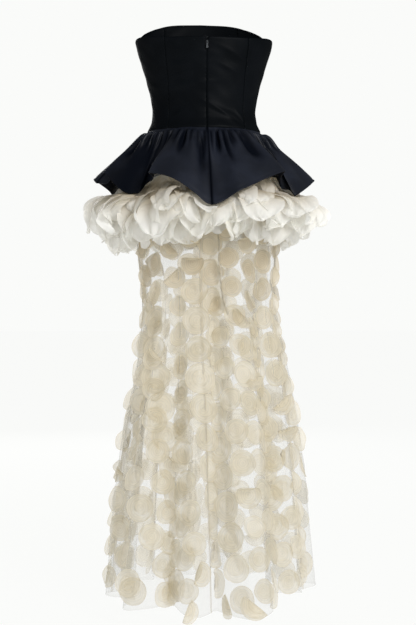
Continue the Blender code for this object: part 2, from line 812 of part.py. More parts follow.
def make_skirt(mesh_cloth, collection):
    """Two backs and a front, each a folded wall with its own discs."""
    panels = [SkirtPanel(name, columns) for name, columns in SKIRT_COLUMNS.items()]
    fitter = DiscFitter(panels)
    for angle, z, radius in disc_list():
        for panel in panels:
            first, last = seam_angles(panel.name, np.array(z))
            turn = (angle - first) % 360 + first
            if first <= turn < last:
                fitter.add(panel, turn, z, radius)
    for panel in panels:
        add_solid(panel.name, panel.points, panel.outer + panel.rest, mesh_cloth, collection)


def wire(name, route, radius):
    """A round wire along a route, as a mesh with closed ends."""
    line = bpy.data.curves.new(name, "CURVE")
    line.dimensions = "3D"
    line.bevel_depth = radius
    line.bevel_resolution = 1
    line.use_fill_caps = True
    spline = line.splines.new("POLY")
    spline.points.add(len(route) - 1)
    for point, place in zip(spline.points, route):
        point.co = (*place, 1)
    return line


def mesh_of(curve_data):
    """A curve turned into a mesh whose caps are welded on."""
    guide = bpy.data.objects.new("guide", curve_data)
    bpy.context.scene.collection.objects.link(guide)
    graph = bpy.context.evaluated_depsgraph_get()
    mesh = bpy.data.meshes.new_from_object(guide.evaluated_get(graph))
    form = bmesh.new()
    form.from_mesh(mesh)
    bmesh.ops.remove_doubles(form, verts=form.verts, dist=1e-6)
    form.to_mesh(mesh)
    form.free()
    bpy.data.objects.remove(guide)
    return mesh


def slider_place():
    """Where the slider's face is on the bodice's back, and how far it leans with the cloth."""
    rows = sorted(BODICE_SECTIONS)
    low, high = SLIDER_HEIGHT - SLIDER_SIZE[2] / 2, SLIDER_HEIGHT + SLIDER_SIZE[2] / 2
    depth_low, depth_high = smooth([low, high], column(rows, 0), column(rows, 2))
    lean = math.atan2(depth_high - depth_low, high - low)
    middle = (depth_low + depth_high) / 2
    return Vector((0, -middle - SEAM_GAP - SLIDER_SIZE[1] / 2 - 0.0002, SLIDER_HEIGHT)), lean


def make_zip(metal, collection, tools):
    """The slider with its bridge, and the pull tab that swings on it."""
    centre, lean = slider_place()
    form = bmesh.new()
    bmesh.ops.create_cube(form, size=1)
    bmesh.ops.scale(form, vec=SLIDER_SIZE, verts=form.verts)
    bmesh.ops.bevel(form, geom=form.edges[:], offset=0.0005, segments=2, affect="EDGES")
    body = bpy.data.meshes.new("zip_slider")
    form.to_mesh(body)
    form.free()
    slider = add_object("zip_slider", body, metal, collection)
    slider.location = centre
    slider.rotation_euler.x = lean

    face = -SLIDER_SIZE[1] / 2
    arch = [(0, face + 0.0004, -BRIDGE_RADIUS)]
    for step in range(13):
        turn = math.pi * step / 12
        rise = -BRIDGE_RADIUS * math.sin(turn) - BRIDGE_RISE
        arch.append((0, face + rise, -BRIDGE_RADIUS * math.cos(turn)))
    arch.append((0, face + 0.0004, BRIDGE_RADIUS))
    bridge = add_object("zip_bridge", mesh_of(wire("zip_bridge", arch, BRIDGE_WIRE)), metal, tools)
    bridge.location = slider.location
    bridge.rotation_euler = slider.rotation_euler
    bridge.hide_render = True
    bridge.display_type = "WIRE"
    join = slider.modifiers.new("bridge", "BOOLEAN")
    join.operation = "UNION"
    join.object = bridge

    swing = Vector((0, face - BRIDGE_RISE, 0))
    swing.rotate(slider.rotation_euler)
    make_tab(centre + swing, metal, collection)


def make_tab(axis_point, metal, collection):
    """The drop-shaped pull tab, hung on the bridge by its eye."""
    outline = bpy.data.curves.new("zip_pull", "CURVE")
    outline.dimensions = "2D"
    outline.fill_mode = "BOTH"
    outline.extrude = TAB_THICKNESS / 2
    lower = TAB_LENGTH - TAB_EYE_OUTER - TAB_HALF_WIDTH
    drop = []
    for step in range(11):
        turn = math.pi * step / 10
        drop.append((TAB_EYE_OUTER * math.cos(turn), TAB_EYE_OUTER * math.sin(turn)))
    for step in range(13):
        turn = math.pi + math.pi * step / 12
        drop.append((TAB_HALF_WIDTH * math.cos(turn), TAB_HALF_WIDTH * math.sin(turn) - lower))
    hole = []
    for step in range(14):
        turn = 2 * math.pi * step / 14
        hole.append((TAB_EYE_RADIUS * math.cos(turn), TAB_EYE_RADIUS * math.sin(turn)))
    for route in (drop, hole):
        spline = outline.splines.new("POLY")
        spline.points.add(len(route) - 1)
        spline.use_cyclic_u = True
        for point, (x, y) in zip(spline.points, route):
            point.co = (x, y, 0, 1)
    rest = math.radians(TAB_REST_ANGLE)
    eye = Vector((0, -BRIDGE_RADIUS * math.sin(rest), -BRIDGE_RADIUS * math.cos(rest)))
    mesh = mesh_of(outline)
    for vertex in mesh.vertices:
        x, y, z = vertex.co
        vertex.co = Vector((x, -z, y)) + eye
    tab = add_object("zip_pull", mesh, metal, collection)
    tab.location = axis_point


def make_hook_and_eye(metal, collection):
    """A small wire hook and the eye that it holds, sewn inside the top of the back opening."""
    depth = float(by_height(BODICE_SECTIONS, 2, BACK_TOP))
    level = BACK_TOP - 0.0010
    behind = -depth + BODICE_WALL + 0.0003 + HOOK_WIRE
    middle = behind + HOOK_BEND
    eye = [(-HOOK_LEG, middle, level + EYE_RADIUS)]
    for step in range(13):
        turn = math.radians(100 - 200 * step / 12)
        across = EYE_TIP - EYE_RADIUS * (1 - math.cos(turn))
        eye.append((across, middle, level + EYE_RADIUS * math.sin(turn)))
    eye.append((-HOOK_LEG, middle, level - EYE_RADIUS))
    bend = EYE_TIP - 2 * HOOK_WIRE - SEAM_GAP
    hook = [(HOOK_LEG, behind, level)]
    for step in range(9):
        turn = math.pi * step / 8
        across = bend + HOOK_BEND * (1 - math.sin(turn))
        hook.append((across, middle - HOOK_BEND * math.cos(turn), level))
    hook.append((bend + 3.2 * HOOK_BEND, middle + HOOK_BEND, level))
    add_object("neck_hook", mesh_of(wire("neck_hook", hook, HOOK_WIRE)), metal, collection)
    add_object("neck_eye", mesh_of(wire("neck_eye", eye, HOOK_WIRE)), metal, collection)


def main():
    for obj in list(bpy.data.objects):
        bpy.data.objects.remove(obj)
    gown = bpy.data.collections.new("strapless_gown")
    tools = bpy.data.collections.new("cutters")
    bpy.context.scene.collection.children.link(gown)
    bpy.context.scene.collection.children.link(tools)
    bodice_cloth = new_material("bodice_cloth", BLACK_CLOTH, 0.75)
    peplum_cloth = new_material("peplum_cloth", PEPLUM_CLOTH, 0.60)
    organza = new_material("petal_organza", IVORY_ORGANZA, 0.55)
    mesh_cloth = new_material("disc_mesh", SHEER_MESH, 0.60)
    metal = new_material("zip_metal", ZIP_METAL, 0.35, 1.0)
    make_bodice(bodice_cloth, gown)
    make_peplum(peplum_cloth, gown)
    make_petals(organza, gown)
    make_skirt(mesh_cloth, gown)
    make_zip(metal, gown, tools)
    make_hook_and_eye(metal, gown)


main()
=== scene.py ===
"""The strapless gown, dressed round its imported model: crepe, organza petals, sheer net and discs."""

import math

import bpy
import numpy as np
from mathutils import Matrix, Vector
from mathutils.bvhtree import BVHTree


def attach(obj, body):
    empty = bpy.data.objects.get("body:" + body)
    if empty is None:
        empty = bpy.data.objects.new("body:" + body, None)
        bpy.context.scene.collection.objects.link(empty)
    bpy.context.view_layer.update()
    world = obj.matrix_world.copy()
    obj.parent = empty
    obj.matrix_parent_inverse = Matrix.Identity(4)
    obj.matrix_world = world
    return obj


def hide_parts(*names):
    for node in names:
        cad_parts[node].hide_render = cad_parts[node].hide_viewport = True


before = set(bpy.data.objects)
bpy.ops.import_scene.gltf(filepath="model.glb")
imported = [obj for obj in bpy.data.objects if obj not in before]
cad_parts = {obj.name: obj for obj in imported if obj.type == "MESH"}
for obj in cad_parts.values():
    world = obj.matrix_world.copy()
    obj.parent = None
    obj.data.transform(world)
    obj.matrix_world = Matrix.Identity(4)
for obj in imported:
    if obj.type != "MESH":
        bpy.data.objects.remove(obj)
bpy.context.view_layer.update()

# The photograph's camera
CAMERA_AZIMUTH = -4.0
CAMERA_HEIGHT = -0.443
CAMERA_DISTANCE = 2.65
CAMERA_SHIFT = 0.0089
CAMERA_LENS = 68.7

FLOOR_LEVEL = -1.095

# How far apart pieces are at their seams
SEAM_GAP = 0.0003

# The bodice's lower edge, and the height of the neckline at the back, the sides and the front
BODICE_BOTTOM = -0.047
BACK_TOP = 0.148
SIDE_TOP = 0.162
FRONT_TOP = 0.222
# The middle of each side of the bust, how far it stands out and how wide it is
BUST_X = 0.076
BUST_Z = 0.118
BUST_SIZE = 0.013
BUST_SPREAD = 0.045
# How square the gown's sections are: 1 would be an ellipse, and less is squarer
TORSO_SQUARENESS = 0.92

# The bodice's outline, a row for each height
BODICE_SECTIONS = (
    # height, half_width, back_depth, front_depth
    (-0.043, 0.1250, 0.100, 0.101),
    (-0.022, 0.1165, 0.091, 0.097),
    (0.000, 0.1143, 0.087, 0.097),
    (0.030, 0.1180, 0.088, 0.101),
    (0.070, 0.1275, 0.092, 0.108),
    (0.110, 0.1390, 0.097, 0.115),
    (0.145, 0.1495, 0.101, 0.117),
    (0.165, 0.1525, 0.103, 0.116),
    (0.225, 0.1500, 0.104, 0.112),
)

# Seams that shape the bodice, as angles from the centre back and from the centre front
BODICE_SEAMS = (
    # share_of_height, back_angle, front_angle
    (0.00, 40.5, 36.0),
    (0.22, 43.5, 34.0),
    (0.60, 39.5, 31.5),
    (1.00, 35.5, 32.0),
)

# Soft drag lines in the bodice's back: the middle of each, its half length, slant and depth
BODICE_DRAGS = (
    # angle, height, half_angle, slant, half_height, depth
    (20, -0.012, 18, -0.0011, 0.0070, 0.0020),
    (30, -0.026, 13, -0.0012, 0.0060, -0.0018),
    (-24, 0.062, 15, 0.0002, 0.0075, -0.0012),
    (-27, 0.090, 15, 0.0003, 0.0070, 0.0011),
    (24, 0.098, 16, -0.0006, 0.0090, -0.0012),
    (26, 0.112, 20, -0.0010, 0.0060, 0.0014),
    (22, 0.081, 14, -0.0009, 0.0050, 0.0010),
    (-16, 0.048, 22, 0.0003, 0.0050, 0.0014),
    (-30, 0.074, 16, 0.0005, 0.0050, -0.0010),
    (-14, 0.118, 18, -0.0003, 0.0060, 0.0010),
    (12, -0.006, 12, -0.0012, 0.0040, 0.0016),
    (40, -0.022, 8, -0.0020, 0.0045, 0.0018),
    (-36, -0.020, 12, 0.0010, 0.0050, 0.0012),
    (60, 0.030, 12, 0.0006, 0.0060, -0.0010),
    (-64, 0.050, 12, -0.0006, 0.0060, 0.0010),
    (158, 0.012, 14, 0.0006, 0.0060, 0.0012),
    (-154, 0.004, 14, -0.0006, 0.0060, 0.0012),
    (176, 0.040, 18, 0.0003, 0.0070, -0.0010),
)

# The peplum's hem: where each point of it hangs from at the waist, and where it lies
PEPLUM_HEM = (
    # waist_angle, x, y, z
    (0, 0.003, -0.204, -0.2210),
    (13, 0.054, -0.203, -0.1960),
    (26, 0.116, -0.166, -0.1640),
    (35, 0.166, -0.124, -0.1420),
    (42, 0.160, -0.094, -0.1550),
    (50, 0.166, -0.066, -0.1740),
    (58, 0.182, -0.068, -0.1770),
    (66, 0.190, -0.088, -0.1910),
    (77, 0.224, -0.052, -0.1690),
    (90, 0.248, 0.000, -0.1480),
    (99, 0.240, 0.046, -0.1560),
    (107, 0.208, 0.074, -0.1720),
    (115, 0.194, 0.112, -0.1800),
    (124, 0.158, 0.134, -0.1660),
    (134, 0.140, 0.172, -0.1520),
    (146, 0.094, 0.176, -0.1660),
    (160, 0.054, 0.200, -0.1890),
    (180, 0.000, 0.208, -0.2100),
    (200, -0.054, 0.200, -0.1900),
    (214, -0.094, 0.174, -0.1670),
    (226, -0.138, 0.172, -0.1520),
    (236, -0.162, 0.134, -0.1690),
    (246, -0.198, 0.108, -0.1800),
    (256, -0.212, 0.060, -0.1680),
    (264, -0.246, 0.024, -0.1460),
    (270, -0.238, 0.004, -0.1570),
    (275, -0.220, -0.002, -0.1590),
    (279, -0.209, -0.020, -0.1510),
    (284, -0.222, -0.052, -0.1380),
    (290, -0.208, -0.073, -0.1550),
    (297, -0.190, -0.093, -0.1770),
    (304, -0.168, -0.110, -0.1900),
    (310, -0.148, -0.112, -0.1900),
    (316, -0.131, -0.098, -0.1700),
    (322, -0.116, -0.116, -0.1580),
    (328, -0.128, -0.149, -0.1500),
    (335, -0.104, -0.170, -0.1560),
    (344, -0.070, -0.191, -0.1690),
    (352, -0.033, -0.201, -0.1970),
)
PEPLUM_PANELS = {
    "peplum_back_right": (0, 90),
    "peplum_front": (90, 270),
    "peplum_back_left": (270, 360),
}
# How many gathers go round the waist, how deep they are, and how far the peplum arches up
GATHERS_ROUND = 28
GATHER_DEPTH = 0.0024
PEPLUM_LIFT = 0.010

# The skirt's outline over its folds, a row for each height
SKIRT_SECTIONS = (
    # height, left, right, back, front
    (-0.0433, 0.1235, 0.1235, 0.0985, 0.0995),
    (-0.095, 0.1390, 0.1400, 0.1080, 0.1080),
    (-0.150, 0.1470, 0.1500, 0.1150, 0.1150),
    (-0.200, 0.1500, 0.1560, 0.1190, 0.1190),
    (-0.300, 0.1460, 0.1590, 0.1200, 0.1200),
    (-0.420, 0.1370, 0.1560, 0.1210, 0.1220),
    (-0.560, 0.1500, 0.1810, 0.1370, 0.1400),
    (-0.720, 0.1820, 0.2060, 0.1590, 0.1640),
    (-0.890, 0.2030, 0.2270, 0.1770, 0.1840),
    (-1.061, 0.2170, 0.2430, 0.1930, 0.2000),
)
# How deep the skirt's folds are, a row for each height
FOLD_DEPTHS = (
    # height, depth
    (-0.200, 0.000),
    (-0.300, 0.004),
    (-0.420, 0.012),
    (-0.560, 0.021),
    (-0.720, 0.031),
    (-0.890, 0.039),
    (-1.061, 0.046),
)
# The folds of the skirt, as the ridges and hollows between them
SKIRT_FOLDS = (
    # angle, reach
    (-84, 0.55),
    (-66, -0.55),
    (-47, 1.00),
    (-31, -1.00),
    (-9, 0.50),
    (6, -1.00),
    (21, 1.15),
    (33, 0.75),
    (54, -1.00),
    (76, 0.10),
    (86, -0.10),
    (99, 1.00),
    (117, -0.90),
    (135, 0.90),
    (152, -0.85),
    (170, 0.75),
    (187, -0.85),
    (205, 0.90),
    (223, -0.80),
    (242, 0.95),
    (260, -0.60),
)
# The angles at which the skirt is widest, seen from the back
RIGHT_EDGE = 94
LEFT_EDGE = -86
# The seam up the centre back leans a little to the left below the waist
CENTRE_BACK_SEAM = (
    # height, angle
    (-1.061, 1.0),
    (-0.700, -3.0),
    (-0.350, -7.0),
    (-0.150, -2.0),
    (-0.0433, 0.0),
)
# The step in angle that a disc's direction is taken over
FOLD_STEP = 6.0
# The columns of applique discs, which lean round the skirt as they go down
DISC_COLUMNS = (
    # top_angle, hem_angle, first_height, radius
    (-58, -20, -0.276, 0.0255),
    (-38, -4, -0.306, 0.0215),
    (-16, 8, -0.276, 0.0255),
    (2, 17, -0.296, 0.0245),
    (19, 38, -0.266, 0.0215),
    (38, 68, -0.293, 0.0225),
    (59, 92, -0.270, 0.0240),
    (79, 110, -0.300, 0.0225),
    (96, 127, -0.270, 0.0250),
    (112, 144, -0.300, 0.0220),
    (128, 161, -0.270, 0.0250),
    (144, 178, -0.300, 0.0220),
    (160, 195, -0.270, 0.0250),
    (176, 212, -0.300, 0.0220),
    (192, 229, -0.270, 0.0250),
    (208, 246, -0.300, 0.0220),
    (224, 264, -0.270, 0.0250),
    (242, 289, -0.300, 0.0220),
    (261, 316, -0.270, 0.0245),
    (281, 328, -0.300, 0.0225),
)
# How far apart a column's discs are, how low the last may be, and the height of the top angles
DISC_PITCH = 0.0612
DISC_LOWEST = -1.035
DISC_TOP = -0.300
# The backs part a little at the top of the zip: how far, from which share of their height, and
# how far from the middle of the gown that is
NOTCH_HALF_WIDTH = 0.0014
NOTCH_START = 0.93
NOTCH_RADIUS = 0.10

# Thickness of the crepe
BODICE_THICKNESS = 0.0015
PEPLUM_THICKNESS = 0.0010

# The crepe of the bodice and of the peplum: its colours, the dark one also taken for the painted shade in
# its creases and seams, and how strongly and how sharply it shines
BODICE_CREPE = {
    "dark": (0.0008, 0.0014, 0.0020),
    "light": (0.0030, 0.0040, 0.0054),
    "sheen": 0.07,
    "roughness": 0.46,
}
PEPLUM_CREPE = {
    "dark": (0.0025, 0.0035, 0.0065),
    "light": (0.0120, 0.0150, 0.0250),
    "sheen": 0.34,
    "roughness": 0.42,
}

# Rows of points down a panel of the bodice, and columns across a narrow panel and a wide one
BODICE_ROWS = 96
BODICE_NARROW = 60
BODICE_WIDE = 90
# The usual distance of the bodice's cloth from its middle
BODICE_RADIUS = 0.115
# How deep a seam sinks, how far its stitches pucker the cloth, and how uneven the cloth is elsewhere
SEAM_DEPTH = 0.0006
SEAM_WIDTH = 0.0018
PUCKER_DEPTH = 0.00022
PUCKER_WIDTH = 0.006
UNEVENNESS = 0.00045
TOP_EDGE_ROLL = 0.0009
TOP_EDGE_START = 0.985
# How much painted shade darkens the crepe in a seam's groove, and how wide
SEAM_PAINTED_SHADE = 0.35
SEAM_PAINTED_SHADE_WIDTH = 0.0014

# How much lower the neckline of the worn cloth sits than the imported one, going round from the zip
NECKLINE_SAG = (
    # side_angle, sag
    (10, 0.0),
    (30, 0.0012),
    (60, 0.0018),
    (80, 0.0040),
    (90, 0.0050),
    (105, 0.0022),
    (120, 0.0),
    (141, 0.0034),
    (157, 0.0020),
    (180, 0.0),
)

PEPLUM_ROWS = 60
# How far the gathers, the softer drape and the hem's stitches move the peplum's cloth
PEPLUM_GATHERS = 0.0034
PEPLUM_DRAPE = 0.0022
PEPLUM_HEM_STITCH = 0.0008
PEPLUM_SEAM_DEPTH = 0.0012
PEPLUM_SEAM_WIDTH = 0.0018
PEPLUM_METRES_PER_DEGREE = 0.0035
# How its top row is drawn in and up under the bodice
PEPLUM_TUCK = (0.988, 0.988, 0.93)

# Creases in the peplum, from the gathering at the waist down towards the hem
PEPLUM_CREASES = (
    # waist_angle, low_angle, to_share, half_angle, depth
    (-83, -80, 0.62, 2.6, 0.0065),
    (-72, -74, 0.80, 3.2, 0.0095),
    (-61, -58, 0.45, 2.2, 0.0037),
    (-52, -50, 0.75, 2.8, 0.0084),
    (-43, -41, 0.50, 2.0, 0.0042),
    (-35, -37, 0.86, 2.8, 0.0095),
    (-26, -27, 0.42, 1.8, 0.0042),
    (-18, -20, 0.66, 2.2, 0.0076),
    (-10, -9, 0.34, 1.5, 0.0032),
    (-5, -4, 0.80, 1.7, 0.0065),
    (6, 8, 0.46, 1.5, 0.0045),
    (12, 17, 0.72, 2.2, 0.0087),
    (19, 22, 0.38, 1.7, 0.0042),
    (27, 30, 0.84, 2.6, 0.0103),
    (36, 38, 0.46, 2.0, 0.0045),
    (45, 50, 0.78, 2.8, 0.0095),
    (55, 56, 0.42, 2.0, 0.0037),
    (64, 66, 0.72, 3.0, 0.0087),
    (76, 74, 0.50, 2.4, 0.0042),
    (88, 91, 0.80, 3.0, 0.0087),
    (103, 104, 0.60, 2.6, 0.0047),
    (121, 119, 0.82, 3.0, 0.0095),
    (136, 138, 0.52, 2.4, 0.0045),
    (152, 150, 0.78, 2.8, 0.0087),
    (168, 170, 0.60, 2.4, 0.0047),
    (183, 182, 0.84, 2.8, 0.0095),
    (199, 201, 0.54, 2.4, 0.0045),
    (214, 211, 0.80, 2.8, 0.0091),
    (230, 233, 0.56, 2.6, 0.0045),
    (247, 245, 0.82, 3.0, 0.0095),
    (262, 264, 0.50, 2.4, 0.0042),
)

# Where painted shade darkens the peplum's cloth and dulls its coat, where the cloth turns in behind a
# fold
PEPLUM_PAINTED_SHADES = (
    # middle, half_angle, strength
    (-60, 11, 0.85),
    (-46, 5, 0.90),
    (46, 4, 0.60),
    (57, 7, 0.55),
    (133, 8, 0.70),
    (-133, 8, 0.80),
)

# The petals' rows: the height at which each is sewn, how far it reaches out and falls, a petal's
# half width, how many there are, and how much lower than the peplum it stays
PETAL_ROWS = (
    # name, node, sewn_at, reach, fall, half_width, count, clearance
    ("petals_inner", "petals_upper", -0.136, 0.040, 0.084, 0.036, 26, 0.003),
    ("petals_first", "petals_upper", -0.163, 0.092, 0.058, 0.040, 30, 0.003),
    ("petals_second", "petals_upper", -0.169, 0.100, 0.074, 0.042, 30, 0.005),
    ("petals_third", "petals_upper", -0.180, 0.080, 0.084, 0.040, 30, 0.008),
    ("petals_fourth", "petals_lower", -0.196, 0.056, 0.080, 0.037, 28, 0.012),
    ("petals_fifth", "petals_lower", -0.206, 0.034, 0.072, 0.034, 26, 0.014),
)
PETAL_ROWS_DOWN = 24
PETAL_COLUMNS = 25
# How much lower each row is sewn in the worn cloth than its table says
PETALS_LOWERED = 0.008
# How much petals differ from one another: the two ends of each spread
PETAL_REACHES = (0.66, 1.06)
PETAL_FALLS = (0.84, 1.18)
PETAL_WIDTHS = (0.94, 1.46)
PETAL_SWING = 0.30
PETAL_TWIST = 1.1
# The crisp folds that spread from a petal's gathers: how many, how far across, and how high
PETAL_FOLDS = (5, 9)
PETAL_FOLD_SPREAD = 0.42
PETAL_FOLD_HEIGHTS = (0.012, 0.048)
# Straight creases of crushed organza: how far from the middle they pass, and how sharp they are
CRUSH_REACH = 0.035
CRUSH_RADIUS = 0.0012
# Where the middle of the crushed cloth is, measured down from its top
CRUSH_MIDDLE = 0.05
# The direction straight up
UPWARDS = np.array([0.0, 0.0, 1.0])

# Creases that hold a line of doubled net, from under the petals down
NET_CREASES = (
    # top_angle, low_angle, top, bottom, depth, strength
    (7, 20, -0.21, -0.47, 0.006, 2.2),
    (20, 9, -0.45, -1.05, 0.003, 0.25),
    (-31, -27, -0.30, -0.95, 0.004, 0.35),
    (-47, -44, -0.28, -0.86, 0.003, 0.22),
    (-14, -11, -0.44, -1.00, 0.003, 0.22),
    (33, 40, -0.36, -1.02, 0.004, 0.30),
    (55, 56, -0.32, -1.04, 0.004, 0.35),
    (66, 70, -0.24, -0.90, 0.003, 0.25),
    (-68, -66, -0.24, -1.00, 0.003, 0.30),
    (99, 96, -0.26, -1.02, 0.004, 0.25),
    (118, 116, -0.30, -1.03, 0.004, 0.25),
    (151, 152, -0.28, -1.00, 0.004, 0.25),
    (172, 170, -0.34, -1.02, 0.004, 0.22),
    (187, 190, -0.26, -0.98, 0.004, 0.25),
    (224, 221, -0.30, -1.03, 0.004, 0.25),
    (252, 258, -0.28, -1.00, 0.004, 0.25),
)
NET_COLUMNS = {"skirt_back_left": 170, "skirt_back_right": 170, "skirt_front": 300}
NET_ROWS = 130
NET_METRES_PER_DEGREE = 0.0030
NET_RIPPLE = 0.0008
# How wide a seam and a crease of doubled net are, and the hem
NET_SEAM = (0.0020, 0.0042)
NET_CREASE_WIDTH = 0.0016
NET_HEM = (0.0030, 0.0060)
# How far the net is drawn in where it is sewn to the waist
NET_DRAWN_IN = 0.003

# How far seams and creases stand off the net, out through the discs that lie over them
RIDGE_HEIGHT = 0.0045
# How much lower the net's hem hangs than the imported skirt's: it dips at the back and rises at its
# right, and the net above the last height stays where it is
HEM_DROPS = (
    # middle, half_angle, drop
    (8, 26, 0.009),
    (62, 14, -0.012),
)
HEM_DROPS_FROM = -0.95

# Columns of discs that start further down, where the skirt is wide enough for them
LOW_COLUMNS = (
    # top_angle, hem_angle, first_height, radius
    (-70, -56, -0.520, 0.0215),
    (-48, -30, -0.475, 0.0210),
    (-27, -12, -0.560, 0.0200),
    (11, 27, -0.430, 0.0205),
    (28, 52, -0.455, 0.0215),
    (48, 80, -0.500, 0.0215),
    (104, 118, -0.520, 0.0210),
    (120, 136, -0.470, 0.0210),
    (136, 152, -0.540, 0.0210),
    (152, 169, -0.480, 0.0210),
    (168, 186, -0.550, 0.0210),
    (184, 203, -0.470, 0.0210),
    (200, 220, -0.530, 0.0210),
    (216, 237, -0.480, 0.0210),
    (233, 255, -0.540, 0.0210),
    (251, 276, -0.500, 0.0210),
)
# Discs that hang round the back of the hem, some of them seen nearly from the side
HEM_DISCS = (
    # angle, height, radius, yaw, fold
    (-13, -1.052, 0.0215, 50, (-0.6, 0.0, 2.9)),
    (12, -1.047, 0.0215, -48, (-2.2, 0.0, 2.9)),
    (21, -1.036, 0.0250, 6, (-2.26, -0.10, 2.9)),
    (47, -1.046, 0.0215, -30, None),
    (-25, -1.028, 0.0190, 10, None),
    (-44, -1.020, 0.0255, -6, None),
    (-35, -1.036, 0.0200, 8, None),
)

# How sharply organza bends where it is turned over, as a radius
FOLD_BEND = 0.0035
# The strip that discs are cut from, and how much of it falls away between them
DISC_STRIP = 0.056
DISC_OFFCUTS = 1.15
LOW_COLUMN_PITCH = 1.06 * DISC_PITCH
# How much discs differ in size, and how many of them have a part turned over
DISC_SPREAD = (0.98, 1.14)
TURNED_OVER_SHARE = 0.10
# How a disc lies: how much of it faces straight out, how unevenly it tilts, and how far it cups,
# leans off the net and bends like a saddle
DISC_OUTWARDS = 0.28
DISC_TILT = 0.07
DISC_CUP = (0.001, 0.007)
DISC_LEAN = (0.002, 0.007)
DISC_SADDLE = (0.0005, 0.0030)
DISC_FRILL = 0.0008
DISC_OFF_NET = 0.0012
# Discs at the gown's right and left edges turn to the back and lie further in
EDGE_TURNS = (0.66, 0.45)
EDGE_SINKS = (0.006, 0.012)
# How far a disc that is turned to the side stands off the net
SIDEWAYS_OFF = 0.017

# The studio: a pale surround, and soft lights that all face the gown
BACKDROP = (0.957, 0.964, 0.950)
SURROUND = 0.30
STUDIO_LIGHTS = (
    # name, place, size, power
    ("key", (1.5, -2.9, 1.5), 1.3, 96),
    ("side", (-2.6, -2.2, 0.0), 1.2, 4),
    ("front", (-0.4, 3.4, 0.8), 2.4, 88),
)
LIGHTS_AIM = (0, 0, -0.4)
FLOOR_GLOW = 0.98
FLOOR_HALF_SIZE = 40


def smooth(at, knots, values):
    """The table's values at the places asked for, on a curve that doesn't overshoot its rows."""
    knots = np.asarray(knots, float)
    values = np.asarray(values, float)
    at = np.clip(np.asarray(at, float), knots[0], knots[-1])
    row = np.clip(np.searchsorted(knots, at, side="right") - 1, 0, len(knots) - 2)
    gaps = np.diff(knots)
    slopes = np.diff(values) / gaps
    before, after = slopes[:-1], slopes[1:]
    same_way = before * after > 0
    total = np.where(same_way, before + after, 1.0)
    middle = np.where(same_way, 2 * before * after / total, 0.0)
    tangents = np.concatenate([slopes[:1], middle, slopes[-1:]])
    gap = gaps[row]
    t = (at - knots[row]) / gap
    start = (1 + 2 * t) * (1 - t) ** 2 * values[row] + t**2 * (3 - 2 * t) * values[row + 1]
    return start + gap * t * (1 - t) * ((1 - t) * tangents[row] - t * tangents[row + 1])


def column(table, number):
    """One column of a table."""
    return [row[number] for row in table]


def by_angle(table, number, angle):
    """A column of a table whose first column is an angle, on a curve that goes all the way round."""
    first = table[0][0]
    rows = [(row[0] - 360, *row[1:]) for row in table[-2:]]
    rows += table
    rows += [(row[0] + 360, *row[1:]) for row in table[:2]]
    turn = (np.asarray(angle, float) - first) % 360 + first
    return smooth(turn, column(rows, 0), column(rows, number))


def by_height(table, number, z):
    """A column of a table whose first column is a height, at the heights z."""
    rows = sorted(table)
    return smooth(z, column(rows, 0), column(rows, number))


def fade(value, low, high):
    """0 below low, 1 above high, and a smooth rise between."""
    t = np.clip((np.asarray(value, float) - low) / (high - low), 0, 1)
    return t * t * (3 - 2 * t)


def bell(off, width):
    """1 at the middle of a band, and less and less on both sides of it."""
    return np.exp(-((off / width) ** 2))


def half_turn(angle):
    """The same angle, between -180 and 180."""
    return (np.asarray(angle, float) + 180) % 360 - 180


def normals_of(surface, across, level, falls=False, step_across=0.05):
    """Unit normals of surface(across, level), facing away from the body.

    falls says that level grows downwards.
    """
    step_level = 1e-4
    along = surface(across + step_across, level) - surface(across - step_across, level)
    rise = surface(across, level + step_level) - surface(across, level - step_level)
    normal = np.cross(rise, along) if falls else np.cross(along, rise)
    return normal / np.linalg.norm(normal, axis=-1, keepdims=True)


def bodice_top(angle):
    """Height of the neckline: low across the back, and an arch over the bust in front."""
    side = np.abs(np.sin(np.radians(angle)))
    back = BACK_TOP + (SIDE_TOP - BACK_TOP) * side**3
    front = SIDE_TOP + (FRONT_TOP - SIDE_TOP) * (1 - side**3.6)
    return np.where(np.cos(np.radians(angle)) > 0, back, front)


def drag_lines(angle, z):
    """How far the drag lines lift the bodice's cloth."""
    turn = half_turn(angle)
    lift = np.zeros(np.broadcast(turn, z).shape)
    for middle, height, half_angle, slant, half_height, depth in BODICE_DRAGS:
        along = turn - middle
        lift += depth * bell(along, half_angle) * bell(z - height - slant * along, half_height)
    return lift


def torso_point(angle, back, front, half_width):
    """A point of the body's outline at an angle from the centre back."""
    turn = np.radians(angle)
    across, ahead = np.sin(turn), -np.cos(turn)
    squared = TORSO_SQUARENESS
    x = half_width * np.sign(across) * np.abs(across) ** squared
    depth = np.where(ahead < 0, back, front)
    y = depth * np.sign(ahead) * np.abs(ahead) ** squared
    return x, y


def bodice_surface(angle, share):
    """The bodice's outside. share is 0 at the waist seam and 1 at the neckline."""
    z = BODICE_BOTTOM + share * (bodice_top(angle) - BODICE_BOTTOM)
    half_width = by_height(BODICE_SECTIONS, 1, z)
    back = by_height(BODICE_SECTIONS, 2, z)
    front = by_height(BODICE_SECTIONS, 3, z)
    x, y = torso_point(angle, back, front, half_width)
    off_apex = ((np.abs(x) - BUST_X) / BUST_SPREAD) ** 2 + ((z - BUST_Z) / BUST_SPREAD) ** 2
    bust = np.where(y > 0, BUST_SIZE * np.exp(-off_apex), 0.0)
    lift = drag_lines(angle, z)
    turn = np.radians(angle)
    return np.stack([x + lift * np.sin(turn), y + bust - lift * np.cos(turn), z], axis=-1)


def bodice_seam(which, share):
    """The angle of a shaping seam, in column which of their table, at a share of the height."""
    return smooth(share, column(BODICE_SEAMS, 0), column(BODICE_SEAMS, which))


def waist_seam(angle):
    """The outside of the bodice's lower edge, where the peplum and the skirt are sewn on."""
    return bodice_surface(angle, np.zeros_like(angle))


